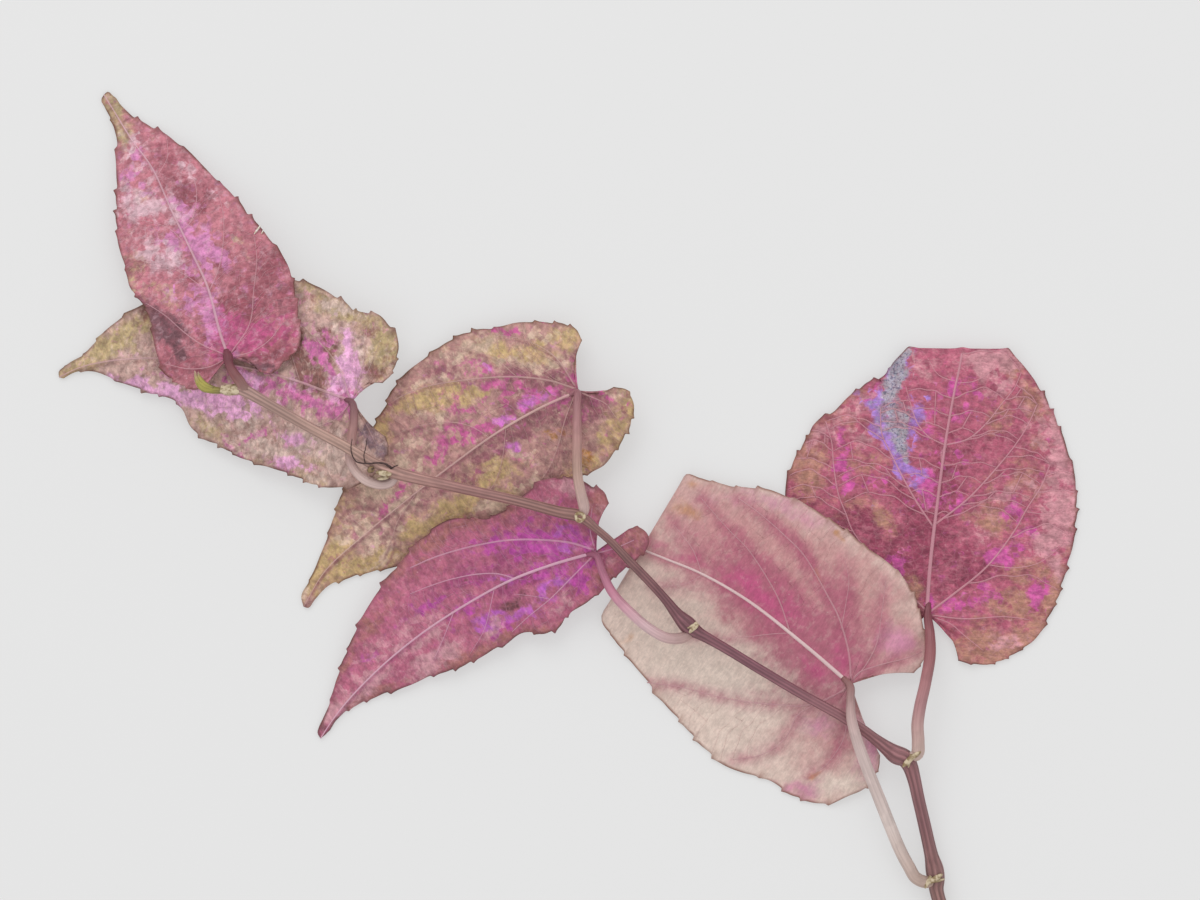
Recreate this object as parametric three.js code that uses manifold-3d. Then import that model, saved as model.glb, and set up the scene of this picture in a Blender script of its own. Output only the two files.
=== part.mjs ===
// Picked shoot of a rex begonia vine, lying with the undersides of its leaves up.
// Millimetres, +Z up, the surface it lies on at Z 0.
import * as THREE from "three";
import Module from "manifold-3d";

// Driving dimensions
// Plan points are on a grid of 1200 by 900 steps, x to the right and y down.
const STEP = 0.28;
const CENTRE_X = 567.4;
const CENTRE_Y = 517.2;
const BLADE = 0.8;
const TOOTH = 0.95;
const TOOTH_PEAK = 0.7;
const RIB_HEIGHT = 0.6;
const RIB_HALF_WIDTH = 0.95;
const QUILT = 0.3;
const WAVE = 0.45;
const FOLD_RADIUS = 1.3;
const RINGS = 5;
const ARCH = 1.4;

// Materials
const material = (color, roughness) =>
  new THREE.MeshStandardMaterial({ color, roughness, metalness: 0 });
const STEM = material(0x6d4a4e, 0.6);
const PALE_STALK = material(0xcdb0ac, 0.55);
const ROSE_STALK = material(0xa9686f, 0.55);
const CREAM = material(0xd6cfa8, 0.6);
const GREEN = material(0xa8a64a, 0.55);
const DARK = material(0x3f2f2c, 0.6);
const BEIGE_BLADE = material(0xc79f9a, 0.6);
const CRIMSON_BLADE = material(0xab5468, 0.6);
const MAGENTA_BLADE = material(0xa8497a, 0.6);
const OLIVE_BLADE = material(0xa98162, 0.6);
const LILAC_BLADE = material(0xb58a88, 0.6);
const ROSE_BLADE = material(0xb8687c, 0.6);

const flat = (x, y) => [(x - CENTRE_X) * STEP, (CENTRE_Y - y) * STEP];
const at = ([x, y, z]) => new THREE.Vector3(...flat(x, y), z);

// Smooth line through plan points with heights
function line(points) {
  const smooth = new THREE.CatmullRomCurve3(points.map(at), false, "centripetal");
  smooth.arcLengthDivisions = 600;
  return smooth;
}

// Leaf blades: each list runs to the tip, as x, y on the plan grid and height in mm.
// rib starts at the stalk, left and right at the inner end of each lobe.
// bow is how far the lobe's inner edge bends, in plan steps.
const BLADES = {
  leaf_1: {
    look: BEIGE_BLADE,
    teeth: 18,
    fan: 7,
    fold: [[690, 477], [605, 619]],
    rib: [[850, 684, 6.2], [801, 642, 7.0], [747, 600, 6.8], [700, 573, 6.0], [666, 559, 5.0],
      [640, 548, 4.3], [612, 530, 4.0], [586, 508, 3.6]],
    right: [[914, 673, 5.0], [925, 657, 4.6], [925, 637, 4.2], [919, 611, 4.3], [909, 587, 4.9],
      [892, 566, 5.2], [868, 549, 5.1], [839, 526, 4.6], [803, 504, 3.6], [770, 491, 3.0],
      [728, 486, 2.7], [700, 478, 2.9], [687, 474, 3.1], [664, 486, 3.1], [635, 499, 3.2],
      [606, 505, 3.4], [586, 508, 3.6]],
    rightBow: 4,
    left: [[880, 756, 3.4], [878, 770, 2.8], [866, 788, 2.0], [850, 795, 1.4], [826, 804, 0.6],
      [802, 799, -0.4], [788, 793, -0.8], [771, 781, -1.2], [744, 773, -1.6], [722, 763, -1.8],
      [705, 748, -1.8], [689, 731, -1.6], [662, 699, -1.0], [633, 663, 0.2], [613, 637, 1.8],
      [602, 622, 3.1], [604, 592, 3.1], [603, 562, 3.2], [591, 535, 3.4], [586, 508, 3.6]],
    leftBow: 1.5,
  },
  leaf_2: {
    look: CRIMSON_BLADE,
    teeth: 18,
    fan: 7,
    fold: [[907, 351.5], [1010, 353]],
    rib: [[927, 614, 2.2], [931, 560, 3.4], [938, 500, 4.6], [946, 440, 5.2], [954, 395, 4.8],
      [963, 347, 3.9], [962, 322, 3.6], [960, 300, 3.4]],
    right: [[959, 661, 1.4], [974, 664, 0.8], [990, 664, 0.2], [1009, 657, -0.3], [1032, 641, -0.6],
      [1046, 619, -0.8], [1055, 598, -0.8], [1062, 573, -0.7], [1070, 550, -0.6], [1074, 522, -0.5],
      [1077, 500, -0.5], [1075, 475, -0.4], [1068, 450, -0.2], [1058, 424, 0.1], [1046, 399, 0.6],
      [1035, 381, 1.3], [1024, 366, 2.1], [1011, 350, 3.1], [1000, 332, 3.1], [984, 317, 3.2],
      [970, 306, 3.3], [960, 300, 3.4]],
    rightBow: 7,
    left: [[882, 651, 1.0], [868, 654, 0.6], [850, 650, 0.4], [832, 637, 0.2], [815, 615, 0],
      [802, 590, 0], [793, 560, 0], [787, 530, 0], [786, 500, 0.1], [789, 475, 0.4], [796, 459, 0.7],
      [805, 443, 1.0], [816, 424, 1.3], [834, 412, 1.6], [851, 396, 1.9], [867, 384, 2.1],
      [885, 376, 2.4], [894, 362, 2.7], [907, 348, 3.1], [928, 325, 3.1], [943, 311, 3.2],
      [960, 300, 3.4]],
    leftBow: 0,
  },
  leaf_3: {
    look: MAGENTA_BLADE,
    teeth: 22,
    fan: 8,
    rib: [[596, 552, 9.2], [551, 565, 9.2], [509, 581, 8.4], [465, 605, 7.2], [421, 634, 5.9],
      [383, 665, 4.4], [350, 698, 2.4], [331, 722, 0.9], [320, 739, 0.4]],
    right: [[609, 503, 9.5], [603, 492, 9.7], [592, 487, 9.6], [569, 478, 9.2], [546, 481, 8.8],
      [529, 491, 8.5], [513, 505, 8.2], [487, 519, 7.6], [450, 520, 6.8], [426, 536, 6.2],
      [410, 551, 5.8], [399, 565, 5.4], [382, 586, 4.8], [368, 609, 4.2], [356, 631, 3.4],
      [347, 652, 2.7], [337, 679, 1.8], [331, 700, 1.1], [323, 719, 0.6], [317, 733, 0.3],
      [320, 739, 0.4]],
    rightBow: 5,
    left: [[629, 529, 9.0], [638, 527, 9.0], [646, 533, 8.8], [648, 542, 8.6], [641, 554, 8.3],
      [629, 565, 8.0], [615, 576, 7.7], [602, 589, 7.2], [587, 602, 6.6], [570, 612, 6.0],
      [556, 628, 5.2], [545, 633, 5.0], [522, 632, 4.7], [507, 641, 4.3], [485, 654, 3.7],
      [456, 668, 2.9], [432, 675, 2.3], [410, 684, 1.7], [376, 696, 0.8], [350, 708, 0.4],
      [335, 720, 0.2], [326, 734, 0.2], [320, 739, 0.4]],
    leftBow: 0,
  },
  leaf_4: {
    look: OLIVE_BLADE,
    teeth: 22,
    fan: 8,
    rib: [[578, 391, 9.5], [540, 408, 9.3], [495, 434, 8.0], [449, 467, 6.2], [404, 502, 4.4],
      [358, 540, 2.7], [324, 572, 1.2], [303, 607, 0.4]],
    right: [[582, 340, 7.0], [576, 330, 6.4], [566, 325, 6.0], [547, 323, 5.4], [518, 323, 4.6],
      [497, 328, 4.2], [468, 333, 3.6], [453, 339, 3.3], [437, 350, 3.0], [420, 362, 2.8],
      [405, 375, 2.8], [392, 391, 2.8], [385, 408, 2.8], [375, 424, 2.8], [364, 442, 2.7],
      [353, 465, 2.4], [343, 490, 1.8], [335, 514, 1.2], [327, 538, 0.5], [318, 562, 0.1],
      [311, 578, 0.1], [301, 596, 0.2], [303, 607, 0.4]],
    rightBow: 5.5,
    left: [[614, 387, 9.4], [625, 390, 9.2], [632, 399, 9.0], [633, 412, 8.6], [627, 430, 8.0],
      [618, 446, 7.4], [604, 464, 6.6], [589, 472, 6.0], [575, 480, 5.2], [555, 494, 4.4],
      [530, 508, 3.6], [500, 524, 2.9], [465, 541, 2.2], [430, 556, 1.4], [400, 565, 0.8],
      [369, 572, 0.3], [343, 579, 0.1], [326, 587, 0.1], [314, 600, 0.2], [308, 608, 0.3],
      [303, 607, 0.4]],
    leftBow: 4,
  },
  leaf_5: {
    look: LILAC_BLADE,
    teeth: 22,
    fan: 8,
    rib: [[352, 401, 11.0], [327, 392, 11.0], [300, 382, 10.6], [250, 368, 9.6], [200, 361, 8.0],
      [150, 358, 5.8], [108, 361, 3.2], [80, 367, 1.4], [58, 377, 0.4]],
    right: [[383, 383, 10.0], [391, 374, 9.6], [396, 360, 9.0], [397, 343, 8.4], [389, 326, 7.8],
      [377, 315, 7.4], [356, 312, 7.0], [340, 300, 6.8], [322, 290, 6.6], [304, 283, 6.4],
      [290, 279, 6.2], [268, 273, 6.0], [240, 270, 5.6], [210, 275, 5.2], [178, 287, 4.4],
      [143, 305, 3.4], [121, 318, 2.6], [101, 335, 1.8], [84, 354, 0.9], [68, 364, 0.4],
      [58, 371, 0.3], [58, 377, 0.4]],
    rightBow: 7,
    left: [[386, 437, 10.4], [388, 447, 10.2], [384, 459, 9.9], [377, 471, 9.6], [365, 480, 9.2],
      [352, 486, 8.8], [335, 487, 8.0], [318, 485, 7.2], [296, 476, 6.2], [272, 467, 5.2],
      [240, 457, 4.0], [222, 446, 3.4], [203, 437, 3.0], [191, 427, 2.8], [183, 409, 2.8],
      [171, 398, 2.6], [150, 392, 2.2], [128, 384, 1.6], [114, 379, 1.2], [92, 370, 0.6],
      [72, 372, 0.3], [62, 378, 0.3], [58, 377, 0.4]],
    leftBow: 3,
  },
  leaf_6: {
    look: ROSE_BLADE,
    teeth: 22,
    fan: 7,
    rib: [[229, 357, 14.3], [221, 334, 14.2], [208, 287, 13.2], [193, 254, 11.8], [172, 211, 9.2],
      [152, 168, 6.2], [131, 139, 3.4], [116, 115, 1.4], [103, 94, 0.4]],
    right: [[260, 372, 13.2], [271, 373, 13.0], [278, 369, 12.8], [283, 361, 12.6],
      [290, 356, 12.4], [297, 351, 12.2], [300, 338, 11.8], [298, 318, 11.2], [295, 295, 10.6],
      [290, 272, 9.8], [279, 252, 8.8], [264, 233, 7.8], [251, 219, 7.0], [234, 197, 5.8],
      [216, 180, 4.8], [203, 167, 4.0], [188, 152, 3.0], [161, 133, 1.6], [137, 120, 0.8],
      [121, 107, 0.4], [112, 95, 0.2], [107, 91, 0.3], [103, 94, 0.4]],
    rightBow: 5,
    left: [[205, 387, 12.6], [196, 389, 12.4], [187, 387, 12.2], [176, 381, 12.0],
      [165, 372, 11.8], [159, 359, 11.4], [156, 346, 11.0], [153, 330, 10.4], [149, 314, 9.6],
      [142, 301, 8.8], [131, 288, 7.6], [127, 270, 6.8], [122, 256, 6.2], [118, 238, 5.6],
      [117, 222, 5.0], [117, 200, 4.3], [117, 180, 3.6], [117, 160, 2.7], [117, 143, 1.8],
      [114, 127, 1.1], [107, 111, 0.5], [100.5, 99, 0.2], [103, 94, 0.4]],
    leftBow: 0,
  },
};

// Signed distance past a fold line in plan, on the side where the tip lies
function foldOf(spec) {
  if (!spec.fold) return null;
  const [a, b] = spec.fold.map(([x, y]) => new THREE.Vector2(...flat(x, y)));
  const along = b.clone().sub(a).normalize();
  const out = new THREE.Vector2(along.y, -along.x);
  const tip = at(spec.rib.at(-1));
  if (out.dot(new THREE.Vector2(tip.x, tip.y).sub(a)) < 0) out.negate();
  return { out, past: (p) => (p.x - a.x) * out.x + (p.y - a.y) * out.y };
}

// Rolls what lies past the fold line under the blade, round FOLD_RADIUS.
function folded(point, fold) {
  const past = fold ? fold.past(point) : 0;
  if (past <= 0) return point;
  const bend = Math.PI * FOLD_RADIUS;
  const turn = Math.min(past, bend) / FOLD_RADIUS;
  const out = past < bend ? FOLD_RADIUS * Math.sin(turn) : bend - past;
  point.x += (out - past) * fold.out.x;
  point.y += (out - past) * fold.out.y;
  point.z -= FOLD_RADIUS * (1 - Math.cos(turn));
  return point;
}

// Share of a line's length at which it is a given distance past the fold
function reach(curve, fold, distance) {
  let low = 0;
  let high = 1;
  for (let k = 0; k < 40; k += 1) {
    const middle = (low + high) / 2;
    if (fold.past(curve.getPointAt(middle)) < distance) low = middle;
    else high = middle;
  }
  return low;
}

// Rays across one half: share of the margin, share of the rib, and whether a tooth follows
function rays(spec, rib, margin, fold) {
  const share = (i) => Math.max(0, (i - spec.fan) / (spec.teeth - spec.fan)) ** 0.9;
  const list = [];
  const last = fold ? [reach(margin, fold, -2), reach(rib, fold, -2)] : [1, 1];
  for (let i = 0; i <= spec.teeth; i += 1) {
    list.push({ u: last[0] * (i / spec.teeth) ** 1.15, g: last[1] * share(i), tooth: true });
  }
  if (!fold) return list;
  const bend = Math.PI * FOLD_RADIUS;
  const far = fold.past(rib.getPointAt(1)) - bend;
  const stops = [0, 0.25, 0.5, 0.75, 1].map((k) => k * bend);
  stops.push(bend + far / 3, bend + (2 * far) / 3);
  list.at(-1).tooth = false;
  for (const stop of stops) {
    list.push({ u: reach(margin, fold, stop), g: reach(rib, fold, stop), tooth: false });
  }
  list.push({ u: 1, g: 1, tooth: false });
  return list;
}

// Middle surface of one half blade: rows of points from rib to margin, with tooth peaks
function half(spec, side, rib, fold) {
  const margin = line(spec[side]);
  const turned = side === "right" ? 1 : -1;
  const list = rays(spec, rib, margin, fold);
  const rows = list.map(({ u, g }, i) => {
    const from = rib.getPointAt(g);
    const to = margin.getPointAt(u);
    const reachMm = Math.hypot(to.x - from.x, to.y - from.y);
    const first = reachMm > 0 ? Math.min(RIB_HALF_WIDTH / reachMm, 0.35) : 0;
    const bow = turned * spec[side + "Bow"] * STEP * Math.max(0, 1 - (2 * i) / spec.fan) ** 2;
    return Array.from({ length: RINGS + 1 }, (_, j) => {
      const v = j === 0 ? 0 : first + ((1 - first) * (j - 1)) / (RINGS - 1);
      const p = from.clone().lerp(to, v);
      const bend = (4 * v * (1 - v) * bow) / (reachMm || 1);
      p.x += bend * -(to.y - from.y);
      p.y += bend * (to.x - from.x);
      p.z = from.z + (to.z - from.z) * v ** ARCH;
      if (i < spec.teeth) {
        p.z += QUILT * Math.cos((2 * Math.PI * i) / 3) * Math.sin(Math.PI * v);
        p.z += WAVE * Math.sin(2.4 * i + spec.teeth) * v ** 3 * Math.min(1, reachMm / 20);
      }
      return p;
    });
  });
  const peaks = list.map(({ u, tooth }, i) => {
    if (!tooth || i + 1 >= list.length) return null;
    const next = list[i + 1].u;
    const where = u + TOOTH_PEAK * (next - u);
    const p = margin.getPointAt(where);
    const way = margin.getTangentAt(where);
    const size = Math.hypot(way.x, way.y);
    const fade = Math.min(1, where / 0.05, (1 - where) / 0.12);
    p.x += (turned * TOOTH * fade * -way.y) / size;
    p.y += (turned * TOOTH * fade * way.x) / size;
    const wave = (k) => rows[k][RINGS].z - margin.getPointAt(list[k].u).z;
    p.z += (1 - TOOTH_PEAK) * wave(i) + TOOTH_PEAK * wave(i + 1);
    return p;
  });
  return { rows, peaks };
}

// Solid blade: both halves share the rib, the upper face lies BLADE above the lower one.
function blade(name) {
  const spec = BLADES[name];
  const rib = line(spec.rib);
  const fold = foldOf(spec);
  const middle = [];
  const raise = [];
  const faces = [];
  const add = (p, up = 0) => {
    p.z = Math.max(p.z, BLADE / 2);
    middle.push(folded(p, fold));
    raise.push(up);
    return middle.length - 1;
  };
  const spine = [];
  const edges = {};
  for (const side of ["right", "left"]) {
    const { rows, peaks } = half(spec, side, rib, fold);
    const last = rows.length - 1;
    const grid = rows.map((row, i) =>
      row.map((p, j) => {
        if (i === last && j > 0) return null;
        if (j > 0) return add(p);
        if (i <= spec.fan && i > 0) return spine[0];
        const share = Math.max(0, i - spec.fan) / (last - spec.fan);
        const up = RIB_HEIGHT * Math.min(1, 4 * share) * (1 - 0.6 * share);
        spine[i] ??= add(p, i === last ? 0 : up);
        return spine[i];
      }),
    );
    grid[last].fill(spine[last]);
    const tops = peaks.map((p) => (p ? add(p) : null));
    const put = (a, b, c) => {
      if (a === b || b === c || a === c) return;
      faces.push(side === "right" ? [a, b, c] : [a, c, b]);
    };
    for (let i = 0; i < last; i += 1) {
      for (let j = 0; j < RINGS; j += 1) {
        const [a, b, c, d] = [grid[i][j], grid[i][j + 1], grid[i + 1][j + 1], grid[i + 1][j]];
        const peak = j === RINGS - 1 ? tops[i] : null;
        if (peak === null) {
          put(a, c, b);
          put(a, d, c);
        } else {
          put(a, peak, b);
          put(a, d, peak);
          put(d, c, peak);
        }
      }
    }
    const outer = grid.flatMap((row, i) => (tops[i] === null ? [row[RINGS]] : [row[RINGS], tops[i]]));
    edges[side] = [...grid[0].slice(0, RINGS), ...outer];
  }
  const normals = middle.map(() => new THREE.Vector3());
  for (const [a, b, c] of faces) {
    const ab = middle[b].clone().sub(middle[a]);
    const cross = ab.cross(middle[c].clone().sub(middle[a]));
    for (const k of [a, b, c]) normals[k].add(cross);
  }
  const upper = middle.map((p, k) => p.clone().addScaledVector(normals[k].normalize(), BLADE / 2 + raise[k]));
  const lower = middle.map((p, k) => p.clone().addScaledVector(normals[k], -BLADE / 2));
  for (const p of [...upper, ...lower]) p.z = Math.max(p.z, 0);
  const count = middle.length;
  const index = faces.flatMap(([a, b, c]) => [a, b, c, count + a, count + c, count + b]);
  const rim = [...edges.left, ...edges.right.slice(1, -1).reverse()];
  rim.forEach((a, k) => {
    const b = rim[(k + 1) % rim.length];
    index.push(a, count + a, b, b, count + a, count + b);
  });
  const geometry = new THREE.BufferGeometry().setFromPoints([...upper, ...lower]);
  geometry.setIndex(index);
  return mesh(name, geometry, spec.look);
}

// Stem, stalks and small parts: lists of x, y on the plan grid, height and radius in mm
const STEM_PATH = [[952, 941, 1.95, 1.8], [943, 912, 2.5, 1.85], [937, 891, 3.2, 1.9],
  [936.3, 879, 3.6, 2.35], [934.8, 869, 3.9, 2.4], [931.5, 855, 4.3, 1.85], [924.7, 825, 5.2, 1.7],
  [918.8, 800, 6.0, 1.68], [914.3, 780, 6.8, 1.8], [910, 766, 7.3, 2.1], [905, 758.5, 7.6, 2.4],
  [896, 754.6, 7.9, 2.5], [886.7, 748, 8.2, 1.95], [875, 739, 8.7, 1.5], [863.5, 730.3, 9.1, 1.4],
  [840, 715.4, 9.8, 1.35], [800, 693, 10.8, 1.3], [760, 669.3, 11.6, 1.3], [730, 651, 12.1, 1.3],
  [710, 639.3, 12.4, 1.4], [700, 633.8, 12.5, 1.6], [692.5, 629, 12.6, 2.1],
  [686.7, 624, 12.6, 2.3], [677, 614, 12.9, 1.65], [666, 600, 13.1, 1.25], [648, 580, 13.5, 1.2],
  [629, 560.5, 13.9, 1.15], [609.4, 540, 14.3, 1.05], [594, 526.8, 14.7, 1.1],
  [586, 520, 14.9, 1.4], [578, 515.5, 15.0, 1.65], [560, 512, 15.2, 1.6], [518, 501, 15.6, 1.6],
  [456, 487, 16.2, 1.65], [404, 475, 16.8, 1.75], [389, 470, 17.0, 1.9], [376, 465, 17.2, 1.7],
  [350, 449, 17.5, 1.45], [304, 424, 17.8, 1.4], [262, 400, 18.0, 1.45], [246, 391, 18.0, 1.7]];
const PETIOLES = [
  [[920.8, 881, 4.7, 1.6], [915.8, 878, 5.3, 1.7], [909, 867, 6.4, 1.75], [900, 850, 7.7, 1.75],
    [887.5, 820, 9.7, 1.75], [879.6, 800, 10.8, 1.75], [871.5, 780, 11.8, 1.7],
    [862.5, 757, 12.9, 1.7], [854.5, 733, 13.2, 1.65], [850.6, 716, 12.7, 1.5],
    [850.3, 699, 10.1, 1.15], [850, 685, 7.8, 0.85]],
  [[919, 752, 8.6, 1.7], [917.3, 741, 8.9, 1.75], [917.3, 725, 9.0, 1.75], [920, 706, 9.0, 1.7],
    [925, 684, 8.8, 1.65], [930, 655, 7.9, 1.6], [930, 634, 6.0, 1.4], [927.5, 615, 3.75, 0.85]],
  [[683, 638.5, 12.2, 1.45], [668, 638, 12.2, 1.5], [650, 629, 12.2, 1.45], [630, 612, 12.1, 1.4],
    [612, 592, 11.9, 1.3], [602, 571, 11.4, 1.1], [596, 553, 10.7, 0.8]],
  [[583.4, 507, 15.2, 1.45], [581, 494, 15.2, 1.45], [577.5, 475, 14.9, 1.4],
    [577, 430, 13.4, 1.35], [577, 404, 11.8, 1.15], [578, 391, 11.1, 0.85]],
  [[391, 483.5, 15.4, 1.25], [380, 484.5, 15.0, 1.3], [366, 480, 14.3, 1.3], [355, 470, 13.6, 1.3],
    [350, 458, 13.2, 1.3], [351.5, 440, 13.0, 1.3], [354, 420, 12.7, 1.2], [352.5, 402, 12.7, 0.8]],
  [[241, 381.5, 19.6, 1.35], [235, 374, 18.9, 1.35], [230, 365, 17.5, 1.15],
    [229.3, 358, 15.95, 0.85]],
];
const STUBS = [
  [[929, 881, 7.1, 0.4], [935, 878, 7.2, 1.0], [942, 875, 7.0, 0.4]],
  [[917, 754, 11.2, 0.4], [911, 759, 11.3, 1.0], [902, 765, 11.1, 0.35]],
  [[696, 622, 15.9, 0.35], [692, 627, 16.0, 0.8], [688, 632, 15.9, 0.35]],
  null,
  [[392, 476.5, 19.5, 0.4], [385, 474, 19.8, 0.75], [377, 471.5, 19.4, 0.3]],
  [[242.3, 391, 17.6, 1.35], [233, 390.5, 17.6, 1.45], [221.5, 389.5, 17.7, 1.0]],
];
const BUD_5 = [[368.5, 471, 19.6, 0.35], [369.8, 470.5, 19.7, 0.8], [371.5, 469.5, 19.8, 0.95],
  [373.2, 468.5, 19.7, 0.7], [374.2, 468, 19.6, 0.3]];
const BUD_6 = [[219.5, 390.5, 17.9, 0.7], [212, 389.5, 18.1, 1.0], [204, 386.5, 18.2, 1.15],
  [198.5, 380, 18.1, 0.8], [196, 371.5, 17.8, 0.2]];
const TENDRIL = [
  [[390, 466, 19.95, 0.5], [380, 462.8, 19.7, 0.45], [368, 463.5, 19.8, 0.45],
    [357, 461.5, 19.9, 0.42], [352.3, 452, 19.9, 0.4], [352.4, 446, 19.6, 0.36], [352.5, 440, 18.9, 0.32]],
  [[365, 463.5, 19.8, 0.4], [364.5, 456, 19.9, 0.38], [366.3, 448, 19.4, 0.34],
    [367.5, 439, 18.3, 0.28]],
];

// Round, lengthwise ribbed rod along a path, its width following the path's radii
function rod(path, sides, spacing, ribbing = 0) {
  const centre = line(path);
  const width = new THREE.CatmullRomCurve3(path.map((p) => new THREE.Vector3(p[3], 0, 0)));
  const stops = [];
  for (let k = 0; k + 1 < path.length; k += 1) {
    const length = at(path[k]).distanceTo(at(path[k + 1]));
    const parts = Math.max(1, Math.round(length / spacing));
    for (let n = 0; n < parts; n += 1) stops.push((k + n / parts) / (path.length - 1));
  }
  stops.push(1);
  const points = [];
  const index = [];
  stops.forEach((t) => {
    const middle = centre.getPoint(t);
    const way = centre.getTangent(t);
    const side = new THREE.Vector3(way.y, -way.x, 0).normalize();
    const up = side.clone().cross(way);
    const radius = width.getPoint(t).x;
    for (let k = 0; k < sides; k += 1) {
      const angle = (2 * Math.PI * k) / sides;
      const r = radius * (1 + (k % 2 ? -ribbing : ribbing));
      points.push(middle.clone().addScaledVector(side, r * Math.cos(angle))
        .addScaledVector(up, r * Math.sin(angle)));
    }
  });
  const rings = stops.length;
  for (let i = 0; i + 1 < rings; i += 1) {
    for (let k = 0; k < sides; k += 1) {
      const a = i * sides + k;
      const b = i * sides + ((k + 1) % sides);
      index.push(a, a + sides, b, b, a + sides, b + sides);
    }
  }
  const start = points.push(centre.getPoint(0)) - 1;
  const end = points.push(centre.getPoint(1)) - 1;
  for (let k = 0; k < sides; k += 1) {
    const next = (k + 1) % sides;
    index.push(start, k, next);
    index.push(end, (rings - 1) * sides + next, (rings - 1) * sides + k);
  }
  const geometry = new THREE.BufferGeometry().setFromPoints(points);
  geometry.setIndex(index);
  return geometry;
}

// Pale ring where a tendril was cut off: a short tube, open on top
function cutRing() {
  const profile = [[0, 0], [1.35, 0], [1.55, 0.5], [1.45, 1.25], [0.75, 1.35], [0.6, 0.5], [0, 0.45]];
  const geometry = new THREE.LatheGeometry(profile.map(([x, y]) => new THREE.Vector2(x, y)), 14);
  geometry.rotateX(Math.PI / 2);
  const seat = at([580, 517, 17.1]);
  geometry.translate(seat.x, seat.y, seat.z);
  return geometry;
}

// Joins two rods into one body
async function joined(geometries) {
  const kit = await Module();
  kit.setup();
  const [first, ...rest] = geometries.map((geometry) => new kit.Manifold(new kit.Mesh({
    numProp: 3,
    vertProperties: geometry.getAttribute("position").array,
    triVerts: new Uint32Array(geometry.index.array),
  })));
  const whole = rest.reduce((sum, body) => sum.add(body), first).getMesh();
  const geometry = new THREE.BufferGeometry();
  geometry.setAttribute("position", new THREE.BufferAttribute(new Float32Array(whole.vertProperties), 3));
  geometry.setIndex([...whole.triVerts]);
  return geometry;
}

function mesh(name, geometry, look) {
  geometry.computeVertexNormals();
  const made = new THREE.Mesh(geometry, look);
  made.name = name;
  return made;
}

const shoot = new THREE.Group();
shoot.name = "rex_begonia_vine";
shoot.add(mesh("stem", rod(STEM_PATH, 10, 4.2, 0.05), STEM));
PETIOLES.forEach((path, k) => {
  const look = k === 0 ? PALE_STALK : ROSE_STALK;
  shoot.add(mesh("petiole_" + (k + 1), rod(path, 8, 3.6), look));
});
STUBS.forEach((path, k) => {
  shoot.add(mesh("stub_" + (k + 1), path ? rod(path, 8, 1.4) : cutRing(), CREAM));
});
for (const name of Object.keys(BLADES)) shoot.add(blade(name));
shoot.add(mesh("tendril", await joined(TENDRIL.map((path) => rod(path, 6, 1.6))), DARK));
shoot.add(mesh("bud_5", rod(BUD_5, 8, 1), GREEN));
shoot.add(mesh("bud_6", rod(BUD_6, 8, 1.4), GREEN));

export default shoot;
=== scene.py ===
"""Picked shoot of a rex begonia vine: the looks around its packed frame."""

import bpy
import numpy as np
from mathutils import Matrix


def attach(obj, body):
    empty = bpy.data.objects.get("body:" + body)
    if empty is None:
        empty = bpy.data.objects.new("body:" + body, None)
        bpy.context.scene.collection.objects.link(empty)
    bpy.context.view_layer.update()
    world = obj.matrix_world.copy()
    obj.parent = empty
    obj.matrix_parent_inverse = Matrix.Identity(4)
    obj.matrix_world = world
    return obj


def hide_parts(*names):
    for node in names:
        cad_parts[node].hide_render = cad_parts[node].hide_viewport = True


bl_info = {
    "name": "Rex begonia vine shoot",
    "version": (1, 0, 0),
    "blender": (4, 5, 0),
    "location": "View3D > Sidebar > Vine shoot",
    "description": "Builds a picked vine shoot",
    "category": "Object",
}

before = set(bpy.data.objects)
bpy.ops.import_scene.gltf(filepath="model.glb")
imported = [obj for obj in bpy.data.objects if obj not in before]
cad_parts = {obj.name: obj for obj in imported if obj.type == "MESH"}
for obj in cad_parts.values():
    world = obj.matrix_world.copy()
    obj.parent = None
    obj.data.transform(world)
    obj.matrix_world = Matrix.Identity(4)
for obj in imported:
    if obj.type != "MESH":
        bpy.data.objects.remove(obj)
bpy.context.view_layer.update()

# Plan grid: 1200 by 900 steps, x to the right and y down; heights and radii are in mm.
STEP = 0.00028
CENTRE_X = 567.4
CENTRE_Y = 517.2
FRAME_STEPS = (1200, 900)
MM = 0.001

# Blades as in the frame: thickness, power of the arch from rib to margin, heights of the waves at the
# margin and of the swellings between the veins, turn of the waves for each stretch of the margin, width
# of blade below which they are lower, stretches to a swelling, and radius of a fold
BLADE = 0.8
ARCH = 1.4
WAVE = 0.45
QUILT = 0.3
WAVE_TURN = 2.4
WAVE_WIDTH = 20
QUILT_STRETCHES = 3
FOLD_RADIUS = 1.3

# Powers by which the grid's rows crowd towards the lobe on the margin and towards the tip on the rib
CROWD = 1.15
RIB_CROWD = 0.9

# Rows for each stretch of a margin, columns from rib to margin, and rows past a fold, which begin a few
# mm before its line
STRETCH_ROWS = 14
RIB_TO_EDGE = 54
FOLD_ROWS = 28
FOLD_EARLY = 2.0

# Teeth: share of the way from one to the next at which the point stands, shares of the margin over which
# they grow at its start and shrink towards a flat tip or a fold, and how far they reach inwards in mm
TOOTH_POINT = 0.84
TEETH_START = 0.05
TEETH_END = 0.12
TEETH_FOLD = 0.06
TOOTH_DEPTH = 3.0

# Distance in mm from the lobe's inner edge that each row adds, and lowest height of the upper face
ROW_REACH = 40 / 60
LOWEST_TOP = 0.2

# Past a fold, in mm: where the veins end, and where the face that carries them ends
VEIN_END = 0.6
FACE_END = 0.8

# Share of its first radius that a vein keeps at its end: side veins, then ladder veins
TAPER = 0.55
RUNG_TAPER = 0.7

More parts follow.
